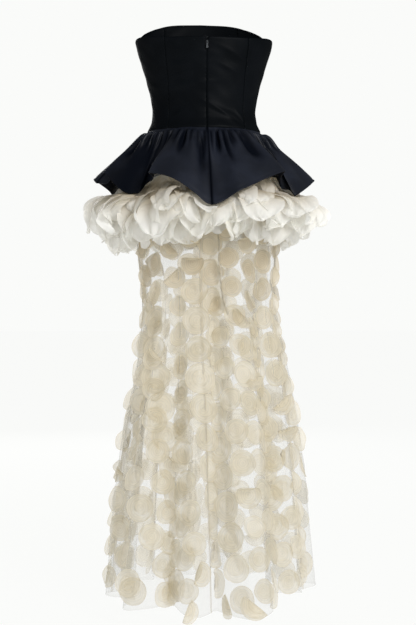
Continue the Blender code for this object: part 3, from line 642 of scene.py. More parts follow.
def gathers(angle):
    """The uneven ripple that the gathering thread leaves round the waist."""
    turn = np.radians(angle)
    even = np.cos(GATHERS_ROUND * turn + 0.8 * np.sin(3 * turn))
    return even * (1 + 0.35 * np.sin(5 * turn + 1.0)) + 0.3 * np.cos(17 * turn + 0.4)


def peplum_surface(angle, share):
    """The peplum's outside. share is 0 at the waist seam and 1 at the hem."""
    seam = waist_seam(angle)
    seam[..., 2] -= SEAM_GAP
    hem = np.stack([by_angle(PEPLUM_HEM, number, angle) for number in (1, 2, 3)], axis=-1)
    share = np.asarray(share, float)[..., None]
    lifted = (seam + hem) / 2 + np.array([0, 0, PEPLUM_LIFT])
    point = (1 - share) ** 2 * seam + 2 * share * (1 - share) * lifted + share**2 * hem
    turn = np.radians(angle)
    out = np.stack([np.sin(turn), -np.cos(turn), 0.6 + 0 * turn], axis=-1)
    swell = fade(share, 0.0, 0.16) * (1 - fade(share, 0.22, 0.80))
    return point + out * GATHER_DEPTH * swell * (gathers(angle)[..., None] + 0.5)


def fold_reach(angle):
    """The skirt's fold at an angle: 1 on a full ridge, -1 at the bottom of a full fold."""
    return by_angle(SKIRT_FOLDS, 1, angle)


def skirt_surface(angle, z):
    """The skirt's outside."""
    z = np.asarray(z, float)
    turn = np.radians(angle)
    across, behind = np.sin(turn), np.cos(turn)
    depth = by_height(FOLD_DEPTHS, 1, z)
    right = by_height(SKIRT_SECTIONS, 2, z) - depth * fold_reach(RIGHT_EDGE)
    left = by_height(SKIRT_SECTIONS, 1, z) - depth * fold_reach(LEFT_EDGE)
    half_width = np.where(across > 0, right, left)
    back = by_height(SKIRT_SECTIONS, 3, z)
    front = by_height(SKIRT_SECTIONS, 4, z)
    half_depth = np.where(behind > 0, back, front)
    power = 2 + (2 / TORSO_SQUARENESS - 2) * fade(z, -0.15, BODICE_BOTTOM)
    inverse = np.abs(across / half_width) ** power + np.abs(behind / half_depth) ** power
    radius = inverse ** (-1 / power) + depth * fold_reach(angle)
    return np.stack([radius * across, -radius * behind, z + 0 * radius], axis=-1)


def seam_angles(name, z):
    """The two seams that a skirt panel lies between."""
    centre = by_height(CENTRE_BACK_SEAM, 1, z)
    return {
        "skirt_back_left": (-90 + 0 * z, centre),
        "skirt_back_right": (centre, 90 + 0 * z),
        "skirt_front": (90 + 0 * z, 270 + 0 * z),
    }[name]


def even_shares(name, columns):
    """Shares of a panel's width that divide its hem into equal lengths of cloth."""
    hem = SKIRT_SECTIONS[-1][0]
    first, last = seam_angles(name, np.array(hem))
    fine = np.linspace(0, 1, 1500)
    line = skirt_surface(first + (last - first) * fine, np.full_like(fine, hem))
    steps = np.linalg.norm(np.diff(line, axis=0), axis=1)
    length = np.concatenate([[0], np.cumsum(steps)])
    return np.interp(np.linspace(0, length[-1], columns), length, fine)


def discs_down(column_of_discs, pitch, top):
    """The angle, height and radius of each disc in a leaning column."""
    top_angle, hem_angle, first, radius = column_of_discs
    for number in range(int((first - DISC_LOWEST) / pitch) + 1):
        z = first - number * pitch
        share = (top - z) / (top - DISC_LOWEST)
        yield top_angle + (hem_angle - top_angle) * share, z, radius


class Value:
    """A number in a finish that changes over the surface. Arithmetic on it adds Math nodes."""

    def __init__(self, finish, socket):
        self.finish = finish
        self.socket = socket

    def math(self, operation, *values):
        node = self.finish.add("ShaderNodeMath", {"operation": operation}, dict(enumerate(values)))
        return Value(self.finish, node.outputs[0])

    def __add__(self, other):
        return self.math("ADD", self, other)

    def __radd__(self, other):
        return self.math("ADD", other, self)

    def __sub__(self, other):
        return self.math("SUBTRACT", self, other)

    def __rsub__(self, other):
        return self.math("SUBTRACT", other, self)

    def __mul__(self, other):
        return self.math("MULTIPLY", self, other)

    def __rmul__(self, other):
        return self.math("MULTIPLY", other, self)

    def __pow__(self, other):
        return self.math("POWER", self, other)

    def sine(self):
        return self.math("SINE", self)

    def size(self):
        return self.math("ABSOLUTE", self)

    def between(self, low, high):
        """0 where this is below low, 1 above high, and a smooth rise between."""
        settings = {"interpolation_type": "SMOOTHSTEP"}
        inputs = {"Value": self, "From Min": low, "From Max": high}
        node = self.finish.add("ShaderNodeMapRange", settings, inputs)
        return Value(self.finish, node.outputs["Result"])


class Finish:
    """A procedural finish on one Principled shader."""

    def __init__(self, name, colour, roughness, **constants):
        self.material = bpy.data.materials.new(name)
        self.material.use_nodes = True
        self.nodes = self.material.node_tree.nodes
        self.links = self.material.node_tree.links
        self.shader = self.nodes["Principled BSDF"]
        self.shader.inputs["Base Color"].default_value = (*colour, 1)
        self.shader.inputs["Roughness"].default_value = roughness
        for socket, value in constants.items():
            self.shader.inputs[socket.replace("_", " ")].default_value = value

    def add(self, kind, settings, inputs):
        """A node of any kind, with its settings first and then its sockets' values or links."""
        node = self.nodes.new(kind)
        for setting, value in settings.items():
            setattr(node, setting, value)
        for socket, value in inputs.items():
            self.feed(node.inputs[socket], value)
        return node

    def feed(self, socket, value):
        """Links a socket to a Value, or sets it to a plain one."""
        if isinstance(value, Value):
            self.links.new(value.socket, socket)
        else:
            socket.default_value = value

    def place(self):
        """Where the point is on the gown, in metres."""
        node = self.add("ShaderNodeTexCoord", {}, {})
        return Value(self, node.outputs["Object"])

    def measured(self, name):
        """A number that was kept with each point of the cloth."""
        node = self.add("ShaderNodeAttribute", {"attribute_name": name}, {})
        return Value(self, node.outputs["Fac"])

    def noise(self, scale, detail=2.0, stretch=None, distortion=0.0):
        """Uneven numbers between 0 and 1 over the cloth, stretched along an axis if asked."""
        place = self.place()
        if stretch:
            node = self.add("ShaderNodeMapping", {}, {"Vector": place, "Scale": stretch})
            place = Value(self, node.outputs["Vector"])
        inputs = {"Vector": place, "Scale": scale, "Detail": detail, "Distortion": distortion}
        node = self.add("ShaderNodeTexNoise", {}, inputs)
        return Value(self, node.outputs[0])

    def mix(self, share, first, second):
        """A colour between two, by share."""
        colours = {6: self.colour(first), 7: self.colour(second), 0: share}
        node = self.add("ShaderNodeMix", {"data_type": "RGBA"}, colours)
        return Value(self, node.outputs[2])

    def colour(self, value):
        return value if isinstance(value, Value) else (*value, 1)

    def bump(self, height, distance, strength=1.0):
        """Fine relief, distance high in metres."""
        inputs = {"Height": height, "Distance": distance, "Strength": strength}
        node = self.add("ShaderNodeBump", {}, inputs)
        self.links.new(node.outputs["Normal"], self.shader.inputs["Normal"])

    def set(self, socket, value):
        """Gives a socket of the shader a value or a link."""
        self.feed(self.shader.inputs[socket], value)

    def sheer(self, opacity, lit_through, colour):
        """Thin cloth: a share of the light goes through it, and what isn't opaque is clear."""
        output = self.nodes["Material Output"]
        glow = self.add("ShaderNodeBsdfTranslucent", {}, {"Color": (*colour, 1)})
        cloth = self.add("ShaderNodeMixShader", {}, {0: lit_through})
        clear = self.add("ShaderNodeBsdfTransparent", {}, {})
        seen = self.add("ShaderNodeMixShader", {}, {0: opacity})
        self.links.new(self.shader.outputs[0], cloth.inputs[1])
        self.links.new(glow.outputs[0], cloth.inputs[2])
        self.links.new(clear.outputs[0], seen.inputs[1])
        self.links.new(cloth.outputs[0], seen.inputs[2])
        self.links.new(seen.outputs[0], output.inputs["Surface"])


def black_crepe(name, dark, light, sheen, roughness):
    """Matt crepe with a fine pebbled grain, and painted shade that darkens it and dulls its coat in its
    creases and seams.
    """
    cloth = Finish(name, dark, 0.85, Specular_IOR_Level=0.01, Coat_Roughness=roughness)
    shade = cloth.noise(16, detail=3)
    grain = cloth.noise(1500, detail=1)
    painted_shade = cloth.measured("painted_shade")
    # Painted shade: the colour is darkened in the creases, the seams and the gathers' valleys
    tone = shade.between(0.35, 0.68) * 0.5 + grain * 0.3 + 0.2 - painted_shade
    cloth.set("Base Color", cloth.mix(tone, dark, light))
    # The painted shade also dulls the coat's reflection there
    cloth.set("Coat Weight", sheen * (1 - 0.9 * painted_shade) * (0.8 + 0.4 * grain))
    cloth.bump(grain + 0.35 * cloth.noise(3200, detail=0), 0.00012, 0.7)
    return cloth.material


def petal_organza():
    """Crisp crumpled organza. Each petal keeps a tone of its own, and is painted with warm shade near its
    gathered top.
    """
    cloth = Finish("petal_organza", (0.84, 0.83, 0.78), 0.45, Specular_IOR_Level=0.45)
    tone = cloth.measured("tone")
    depth = cloth.measured("depth")
    pale = cloth.mix(tone, (0.99, 0.99, 0.98), (0.96, 0.95, 0.91))
    # Painted shade: warm beige near a petal's top, in the shade of the peplum and the petals above, and
    # pale towards its tip
    shade_paint_colour = cloth.mix(tone, (0.62, 0.51, 0.35), (0.76, 0.67, 0.51))
    cloth.set("Base Color", cloth.mix(depth, shade_paint_colour, pale))
    fine = cloth.noise(70, detail=4, stretch=(1, 1, 0.35), distortion=0.8)
    folds = (fine - 0.5).size() ** 0.7
    threads = cloth.noise(2400, detail=0)
    cloth.bump(folds + 0.03 * threads, 0.0022, 0.7)
    cloth.set("Roughness", 0.36 + 0.2 * fine)
    cloth.sheer(0.76 + 0.16 * fine, 0.42, (0.99, 0.98, 0.93))
    return cloth.material


def disc_organza():
    """Organza discs wound in rings, with a denser round laid over the middle of each, and painted shade
    that makes those high on the skirt, under the petals, darker and warmer.
    """
    cloth = Finish("disc_organza", (0.74, 0.69, 0.58), 0.5, Specular_IOR_Level=0.35)
    ring = cloth.measured("ring")
    core = cloth.measured("core")
    tone = cloth.measured("tone")
    low = cloth.measured("low")
    wobble = cloth.noise(60, detail=3)
    rings = (ring * 36 + wobble * 6).sine()
    rim = ring.between(0.88, 0.96)
    laid = 1 - core.between(0.94, 1.0)
    edge = core.between(0.86, 0.94) * (1 - core.between(0.96, 1.02))
    # Painted shade: discs high on the skirt, in the shade of the petals, are darker and warmer, and lower
    # ones pale
    shade_paint_colour = cloth.mix(tone, (0.40, 0.31, 0.19), (0.68, 0.59, 0.43))
    pale = cloth.mix(tone, (0.56, 0.51, 0.38), (0.88, 0.84, 0.74))
    plain = cloth.mix(low, shade_paint_colour, pale)
    shade = 0.16 + 0.17 * rings + 0.42 * rim + 0.34 * edge + 0.4 * (wobble - 0.5)
    cloth.set("Base Color", cloth.mix(shade, plain, (0.50, 0.44, 0.32)))
    cloth.bump(rings * 0.4 + wobble + laid * 0.8, 0.0008, 0.8)
    cloth.set("Roughness", 0.38 + 0.2 * wobble)
    opacity = 0.80 - 0.22 * low + 0.05 * rings + 0.14 * rim + 0.17 * laid + 0.12 * (wobble - 0.5)
    cloth.sheer(opacity, 0.52, (0.97, 0.90, 0.75))
    return cloth.material


def skirt_net():
    """Sheer net, doubled along its seams, its creases and its hem."""
    cloth = Finish("skirt_net", (0.80, 0.80, 0.76), 0.7, Specular_IOR_Level=0.0)
    doubled = cloth.measured("doubled")
    wobble = cloth.noise(22, detail=3, stretch=(1, 1, 0.25))
    cloth.set("Base Color", cloth.mix(doubled, (0.74, 0.74, 0.72), (0.62, 0.53, 0.38)))
    cloth.bump(wobble, 0.001, 0.4)
    cloth.set("Roughness", 0.6 + 0.2 * wobble)
    cloth.sheer(0.18 + 0.08 * wobble + 0.60 * doubled, 0.5, (0.68, 0.68, 0.66))
    return cloth.material


def dark_metal():
    """Dark plated metal, rubbed a little unevenly."""
    metal = Finish("zip_metal", (0.30, 0.31, 0.33), 0.35, Metallic=1.0)
    rubbed = metal.noise(900, detail=3)
    metal.set("Base Color", metal.mix(rubbed, (0.02, 0.022, 0.026), (0.09, 0.095, 0.10)))
    metal.set("Roughness", 0.28 + 0.2 * rubbed)
    metal.bump(metal.noise(3000, detail=1), 0.00005, 0.5)
    return metal.material


def cloth_mesh(name, points, faces, material, measures=None, thickness=0.0):
    """A piece of cloth from its points and faces, with numbers kept at each point."""
    mesh = bpy.data.meshes.new(name)
    mesh.from_pydata(np.asarray(points).reshape(-1, 3).tolist(), [], faces)
    mesh.shade_smooth()
    mesh.materials.append(material)
    for key, values in (measures or {}).items():
        kept = mesh.attributes.new(key, "FLOAT", "POINT")
        kept.data.foreach_set("value", np.asarray(values, np.float32).ravel())
    piece = bpy.data.objects.new(name, mesh)
    bpy.context.scene.collection.objects.link(piece)
    if thickness:
        wall = piece.modifiers.new("cloth", "SOLIDIFY")
        wall.thickness = thickness
        wall.offset = -1.0
    return piece


def grid_faces(rows, columns, start=0):
    """Faces of a grid whose rows run down and whose columns run to the right, seen from outside."""
    r, c = np.meshgrid(np.arange(rows - 1), np.arange(columns - 1), indexing="ij")
    corner = start + (r * columns + c).ravel()
    quads = np.stack([corner, corner + columns, corner + columns + 1, corner + 1], axis=1)
    return quads.tolist()


def surface_area(points):
    """The area of a grid of points."""
    across = points[:-1, 1:] - points[:-1, :-1]
    down = points[1:, :-1] - points[:-1, :-1]
    far_across = points[1:, 1:] - points[1:, :-1]
    far_down = points[1:, 1:] - points[:-1, 1:]
    near = np.linalg.norm(np.cross(across, down), axis=-1)
    far = np.linalg.norm(np.cross(far_across, far_down), axis=-1)
    return float((near + far).sum() / 2)


def cut_size(points):
    """The widest row and the longest column of a grid of points."""
    width = np.linalg.norm(np.diff(points, axis=1), axis=-1).sum(axis=1).max()
    length = np.linalg.norm(np.diff(points, axis=0), axis=-1).sum(axis=0).max()
    return float(width), float(length)


def wear(piece, nodes, area):
    """Hangs the piece on the gown and hides the imported parts that it stands for; the area it is given
    is not used.
    """
    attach(piece, "gown")
    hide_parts(*nodes)


def along_normals(surface, across, level, amount, falls=False, step_across=0.05):
    """Points of a surface, moved out from the body by an amount."""
    normal = normals_of(surface, across, level, falls, step_across)
    return surface(across, level) + normal * amount[..., None]


def seam_dip(from_seam, depth, width):
    """How far a seam lowers the cloth near it."""
    return -depth * bell(from_seam, width)


def make_bodice(cloth):
    """Five panels, each turned in a little along its seams, with the two backs met at the zip."""
    notch = math.degrees(NOTCH_HALF_WIDTH / NOTCH_RADIUS)

    def centre(share):
        return notch * fade(share, NOTCH_START, 1.0)

    def back(share):
        return bodice_seam(1, share)

    def front(share):
        return 180 - bodice_seam(2, share)

    panels = {
        "bodice_back_right": (centre, back, BODICE_NARROW),
        "bodice_side_right": (back, front, BODICE_WIDE),
        "bodice_front": (front, lambda s: 360 - front(s), BODICE_WIDE),
        "bodice_side_left": (lambda s: 360 - front(s), lambda s: 360 - back(s), BODICE_WIDE),
        "bodice_back_left": (lambda s: 360 - back(s), lambda s: 360 - centre(s), BODICE_NARROW),
    }
    for name, (first, last, columns) in panels.items():
        downwards, across = np.linspace(1, 0, BODICE_ROWS), np.linspace(0, 1, columns)
        share, along = np.meshgrid(downwards, across, indexing="ij")
        angle = first(share) * (1 - along) + last(share) * along
        arc = np.radians(last(share) - first(share)) * BODICE_RADIUS
        near, far = along * arc, (1 - along) * arc
        from_seam = np.minimum(near, far)
        z = BODICE_BOTTOM + share * (bodice_top(angle) - BODICE_BOTTOM)
        lift = seam_dip(near, SEAM_DEPTH, SEAM_WIDTH) + seam_dip(far, SEAM_DEPTH, SEAM_WIDTH)
        pucker = np.sin(z * 520 + 3 * np.sin(z * 90)) * bell(from_seam, PUCKER_WIDTH)
        lift += PUCKER_DEPTH * pucker
        lift += UNEVENNESS * np.sin(z * 150 + angle * 0.09) * np.sin(angle * 0.21 + z * 31)
        lift -= TOP_EDGE_ROLL * fade(share, TOP_EDGE_START, 1.0)
        points = along_normals(bodice_surface, angle, share, lift)
        points[..., 2] -= np.interp(np.abs(half_turn(angle)), *zip(*NECKLINE_SAG)) * share
        # Painted shade along the grooves of the seams
        painted_shade = SEAM_PAINTED_SHADE * bell(from_seam, SEAM_PAINTED_SHADE_WIDTH)
        faces = grid_faces(*share.shape)
        piece = cloth_mesh(name + "_crepe", points, faces, cloth, {"painted_shade": painted_shade}, BODICE_THICKNESS)
        wear(piece, [name], surface_area(points))


def peplum_creases(angle, share):
    """How far the creases sink the peplum's cloth."""
    sink = np.zeros_like(angle)
    for waist_angle, low_angle, last, half_angle, depth in PEPLUM_CREASES:
        middle = waist_angle + (low_angle - waist_angle) * share
        off = half_turn(angle - middle)
        length = fade(share, 0.0, 0.05) * (1 - fade(share, last * 0.45, last))
        wide = half_angle * (0.75 + 0.9 * share)
        sink += depth * length / (1 + (off / wide) ** 2) ** 1.6
    side = np.abs(half_turn(angle))
    softened = (1 - 0.8 * bell(side - 88, 14)) * (1 - 0.85 * bell(side - 46, 7))
    return sink * fade(share, 0.02, 0.30) * softened


def peplum_relief(angle, share, first, last):
    """How far the gathers, creases and seams move a panel's cloth, and how much painted shade darkens it
    in its creases, seams and gathers and behind its folds.
    """
    turn = np.radians(angle)
    tight = fade(share, 0.01, 0.09) * (1 - fade(share, 0.12, 0.46))
    small = np.cos(63 * turn + 2 * np.sin(5 * turn)) * (0.7 + 0.3 * np.sin(11 * turn))
    drape = np.sin(23 * turn + 2.2 * np.sin(4 * turn)) * fade(share, 0.1, 0.5) * (1 - 0.6 * share)
    lift = PEPLUM_GATHERS * tight * (small + 0.6) + PEPLUM_DRAPE * drape
    lift -= PEPLUM_HEM_STITCH * bell(share - 0.962, 0.008)
    sunk = peplum_creases(angle, share)
    lift -= sunk
    for from_seam in (angle - first, last - angle):
        lift += seam_dip(from_seam * PEPLUM_METRES_PER_DEGREE, PEPLUM_SEAM_DEPTH, PEPLUM_SEAM_WIDTH)
    # Painted shade: darker in the creases, along the seams and in the gathers' valleys
    at_seam = bell(np.minimum(angle - first, last - angle), 0.8)
    painted_shade = sunk / 0.007 + at_seam + 1.2 * tight * np.clip(-small, 0, 1)
    # More painted shade where the cloth turns in behind a fold
    for middle, half_angle, strength in PEPLUM_PAINTED_SHADES:
        painted_shade += strength * bell(half_turn(angle - middle), half_angle) * fade(share, 0.1, 0.5)
    return lift, np.clip(painted_shade, 0, 1)


def make_peplum(cloth):
    """Three panels, gathered into the waist seam, with a narrow turned hem."""
    for name, (first, last) in PEPLUM_PANELS.items():
        downwards = np.linspace(0, 1, PEPLUM_ROWS) ** 1.1
        across = np.linspace(first, last, 1 + 2 * (last - first))
        share, angle = np.meshgrid(downwards, across, indexing="ij")
        # The second value is the painted shade of the creases, seams and folds, kept with each point for
        # the crepe's colour
        lift, painted_shade = peplum_relief(angle, share, first, last)
        points = along_normals(peplum_surface, angle, share, lift, falls=True)
        points[0] *= PEPLUM_TUCK
        faces = grid_faces(*share.shape)
        piece = cloth_mesh(name + "_crepe", points, faces, cloth, {"painted_shade": painted_shade}, PEPLUM_THICKNESS)
        flat, area = cut_size(points), surface_area(points)
        wear(piece, [name], area)


class Overhang:
    """The underside of the peplum, as a map of heights, which goes on outside the hem."""

    CELL = 0.004
    REACH = 0.32
    MARGIN = 12

    def __init__(self):
        angle, share = np.meshgrid(np.linspace(0, 360, 2400), np.linspace(0, 1, 160))
        points = peplum_surface(angle, share).reshape(-1, 3)
        count = int(2 * self.REACH / self.CELL)
        heights = np.full((count, count), 1.0)
        spots = ((points[:, :2] + self.REACH) / self.CELL).astype(int)
        np.minimum.at(heights, (spots[:, 0], spots[:, 1]), points[:, 2])
        for step in range(self.MARGIN):
            around = heights
            for axis in (0, 1):
                sides = np.minimum(np.roll(around, 1, axis), np.roll(around, -1, axis))
                around = np.minimum(around, sides)
            heights = around if step < 2 else np.where(heights < 1.0, heights, around)
        middle = count // 2
        behind = np.minimum.accumulate(heights[:, middle::-1], axis=1)[:, ::-1]
        heights[:, : middle + 1] = behind
        self.heights = heights

    def above(self, points, clearance):
        """How far each point is above where it would touch the peplum or hide its hem."""
        spots = ((points[..., :2] + self.REACH) / self.CELL).astype(int)
        spots = np.clip(spots, 0, self.heights.shape[0] - 1)
        return points[..., 2] - self.heights[spots[..., 0], spots[..., 1]] + clearance

    def press(self, points, t, clearance):
        """Lowers a petal as a whole, less at its edge, and then any point that is still too high."""
        worst = max(float(self.above(points, clearance)[t > 0.15].max()), 0.0)
        points[..., 2] -= 0.6 * worst * fade(t, 0.0, 0.3) * (1 - 0.6 * t)
        points[..., 2] -= np.clip(self.above(points, clearance), 0, None)
        return points


def crumple(rng, across, down, creases, slope):
    """The height of cloth that was crushed along a few straight creases."""
    height = np.zeros_like(across)
    for _ in range(creases):
        turn = rng.uniform(0, math.pi)
        offset = rng.uniform(-CRUSH_REACH, CRUSH_REACH)
        off = across * math.cos(turn) + (down - CRUSH_MIDDLE) * math.sin(turn) - offset
        height += rng.choice([-1.0, 1.0]) * slope * np.sqrt(off**2 + CRUSH_RADIUS**2)
    return height - height.mean()


def fanned(rng, across, down):
    """The height of crisp folds that spread from the gathers at a petal's top."""
    folds = rng.integers(*PETAL_FOLDS)
    even = np.linspace(-PETAL_FOLD_SPREAD, PETAL_FOLD_SPREAD, folds)
    places = even + rng.uniform(-0.04, 0.04, folds)
    heights = rng.uniform(*PETAL_FOLD_HEIGHTS, folds) * np.resize([1.0, -1.0], folds)
    return down * np.interp(across / (down + 0.004), places, heights)


def petal_line(rng, t, reach, fall):
    """A petal's middle line: how far out it is from the net, and how far up."""
    rise = rng.uniform(-0.018, 0.004)
    away_knots = (0.001, reach * 0.70, reach * 1.16, reach * rng.uniform(0.80, 1.08))
    level_knots = (0.0, rise, -0.50 * fall, -fall)
    weights = ((1 - t) ** 3, 3 * t * (1 - t) ** 2, 3 * t**2 * (1 - t), t**3)
    away = sum(w * k for w, k in zip(weights, away_knots))
    level = sum(w * k for w, k in zip(weights, level_knots))
    return away, level


def petal_directions(rng, turn, t):
    """Out from the gown, along a petal's width and off its face, each of them at every point of it."""
    swing = turn + rng.uniform(-PETAL_SWING, PETAL_SWING) * t[..., None]
    out = np.concatenate([np.sin(swing), -np.cos(swing), 0 * swing], axis=-1)
    side = np.concatenate([np.cos(swing), np.sin(swing), 0 * swing], axis=-1)
    lean = np.clip(1.4 * t, 0, 1)[..., None] * math.pi / 2
    facing = np.sin(lean) * out + np.cos(lean) * UPWARDS
    twist = rng.uniform(-PETAL_TWIST, PETAL_TWIST) * fade(t, 0.1, 0.8)[..., None]
    turned_side = np.cos(twist) * side + np.sin(twist) * facing
    turned_face = np.cos(twist) * facing - np.sin(twist) * side
    return out, turned_side, turned_face


def petal_points(rng, turn, sewn_at, reach, fall, half_width):
    """One petal: gathered at its top, out over the hip, turned its own way, and round at its edge."""
    downwards = 1 - np.linspace(1, 0, PETAL_ROWS_DOWN) ** 1.6
    t, s = np.meshgrid(downwards, np.linspace(-1, 1, PETAL_COLUMNS), indexing="ij")
    reach *= rng.uniform(*PETAL_REACHES)
    fall *= rng.uniform(*PETAL_FALLS)
    half_width *= rng.uniform(*PETAL_WIDTHS)
    away, level = petal_line(rng, t, reach, fall)
    width = half_width * np.clip(1 - np.abs(1.5 * t - 0.5) ** 2.4, 0.0001, 1) ** 0.46
    width = width * (0.35 + 0.65 * fade(t, 0.0, 0.5))
    across = s * width
    down = t * (reach + fall)
    height = fanned(rng, across, down) + crumple(rng, across, down, creases=4, slope=0.07)
    height -= rng.uniform(-0.010, 0.020) * s**2 * t
    curl = fade(np.sqrt(s**2 + t**2), 1.0, 1.35) * rng.uniform(-0.010, 0.012)
    height += curl + 0.0030 * np.sin(rng.uniform(6, 11) * s + rng.uniform(0, 6)) * t**3
    level = level + 0.004 * np.sin(rng.uniform(3, 6) * s + rng.uniform(0, 6)) * t**3
    out, turned_side, turned_face = petal_directions(rng, turn, t)
    base = skirt_surface(np.array([math.degrees(turn)]), np.array([sewn_at]))[0]
    points = base + out * away[..., None] + UPWARDS * level[..., None]
    points = points + turned_side * across[..., None] + turned_face * height[..., None]
    return points, t


def make_petals(cloth):
    """Rows of separate petals, each row sewn round the skirt's net under the peplum."""
    rng = np.random.default_rng(11)
    overhang = Overhang()
    for name, node, sewn_at, reach, fall, half_width, count, clearance in PETAL_ROWS:
        points, faces, tones, depths = [], [], [], []
        area = 0.0
        for number in range(count):
            turn = 2 * math.pi * (number + rng.uniform(-0.3, 0.3)) / count
            # Petals reach further at the left, and less at the centre back and front
            wider = 1.02 + 0.15 * max(-math.sin(turn), 0) - 0.06 * math.cos(turn) ** 2
            sewn = sewn_at - PETALS_LOWERED
            shape, t = petal_points(rng, turn, sewn, reach * wider, fall * wider, half_width)
            shape = overhang.press(shape, t, clearance + rng.uniform(0, 0.004))
            faces += grid_faces(*t.shape, start=number * t.size)
            points.append(shape)
            tones.append(np.full(t.size, rng.uniform(0, 1)))
            # How far down the petal a point is, which sets its painted shade: warm at the top, pale at
            # the tip
            depths.append(fade(t, 0.25, 0.90).ravel())
            area += surface_area(shape)
        measures = {"tone": np.concatenate(tones), "depth": np.concatenate(depths)}
        piece = cloth_mesh(name, np.array(points), faces, cloth, measures)
        wear(piece, [node], area)


def net_creases(angle, z):
    """How far the creases lift the net, and how strongly its doubled edge shows."""
    lift, strength = np.zeros_like(z), np.zeros_like(z)
    for top_angle, low_angle, top, bottom, depth, strong in NET_CREASES:
        share = (z - top) / (bottom - top)
        wander = 0.8 * np.sin(21 * z + top_angle)
        off = half_turn(angle - top_angle - (low_angle - top_angle) * share - wander)
        length = fade(share, -0.05, 0.08) * (1 - fade(share, 0.80, 1.0))
        off = off * NET_METRES_PER_DEGREE
        lift += depth * length * np.exp(-np.abs(off) / 0.005)
        strength += strong * length * bell(off, NET_CREASE_WIDTH)
    return lift, strength


def net_panel(name, columns):
    """A skirt panel's points under the discs, its points with standing seams, and where it is doubled."""
    waist, hem_level = SKIRT_SECTIONS[0][0], SKIRT_SECTIONS[-1][0]
    downwards = np.linspace(waist, hem_level, NET_ROWS)
    z, share = np.meshgrid(downwards, even_shares(name, columns), indexing="ij")
    first, last = seam_angles(name, z)
    angle = first + (last - first) * share
    turn = np.radians(angle)
    low = 1 - fade(z, -0.80, -0.30)
    ripple = np.sin(61 * turn + 9 * z + 2 * np.sin(7 * turn)) * (0.6 + 0.4 * np.sin(5 * turn + 11 * z))
    ripple += 0.5 * np.sin(113 * turn - 14 * z + 1.5 * np.sin(9 * turn + 6 * z))
    lift, strength = net_creases(angle, z)
    lift += NET_RIPPLE * low * ripple - NET_DRAWN_IN * fade(z, -0.07, -0.045)
    points = along_normals(skirt_surface, angle, z, lift, step_across=1.0)
    step = np.linalg.norm(np.diff(points, axis=1), axis=-1)
    run = np.concatenate([np.zeros((NET_ROWS, 1)), np.cumsum(step, axis=1)], axis=1)
    from_seam = np.minimum(run, run[:, -1:] - run)
    seam = 0.8 * (1 - fade(from_seam, *NET_SEAM))
    hem = 0.16 * (1 - fade(z - hem_level, *NET_HEM))
    around = half_turn(angle)
    drop = sum(amount * bell(around - middle, half_angle) for middle, half_angle, amount in HEM_DROPS)
    drop *= 1 - fade(z, hem_level, HEM_DROPS_FROM)
    ridge = RIDGE_HEIGHT * np.clip(seam + strength, 0, 2) * fade(-z, 0.19, 0.22)
    raised = along_normals(skirt_surface, angle, z, lift + ridge, step_across=1.0)
    points[..., 2] -= drop
    raised[..., 2] -= drop
    return points, raised, np.clip(np.maximum(seam, hem) + strength, 0, 1)


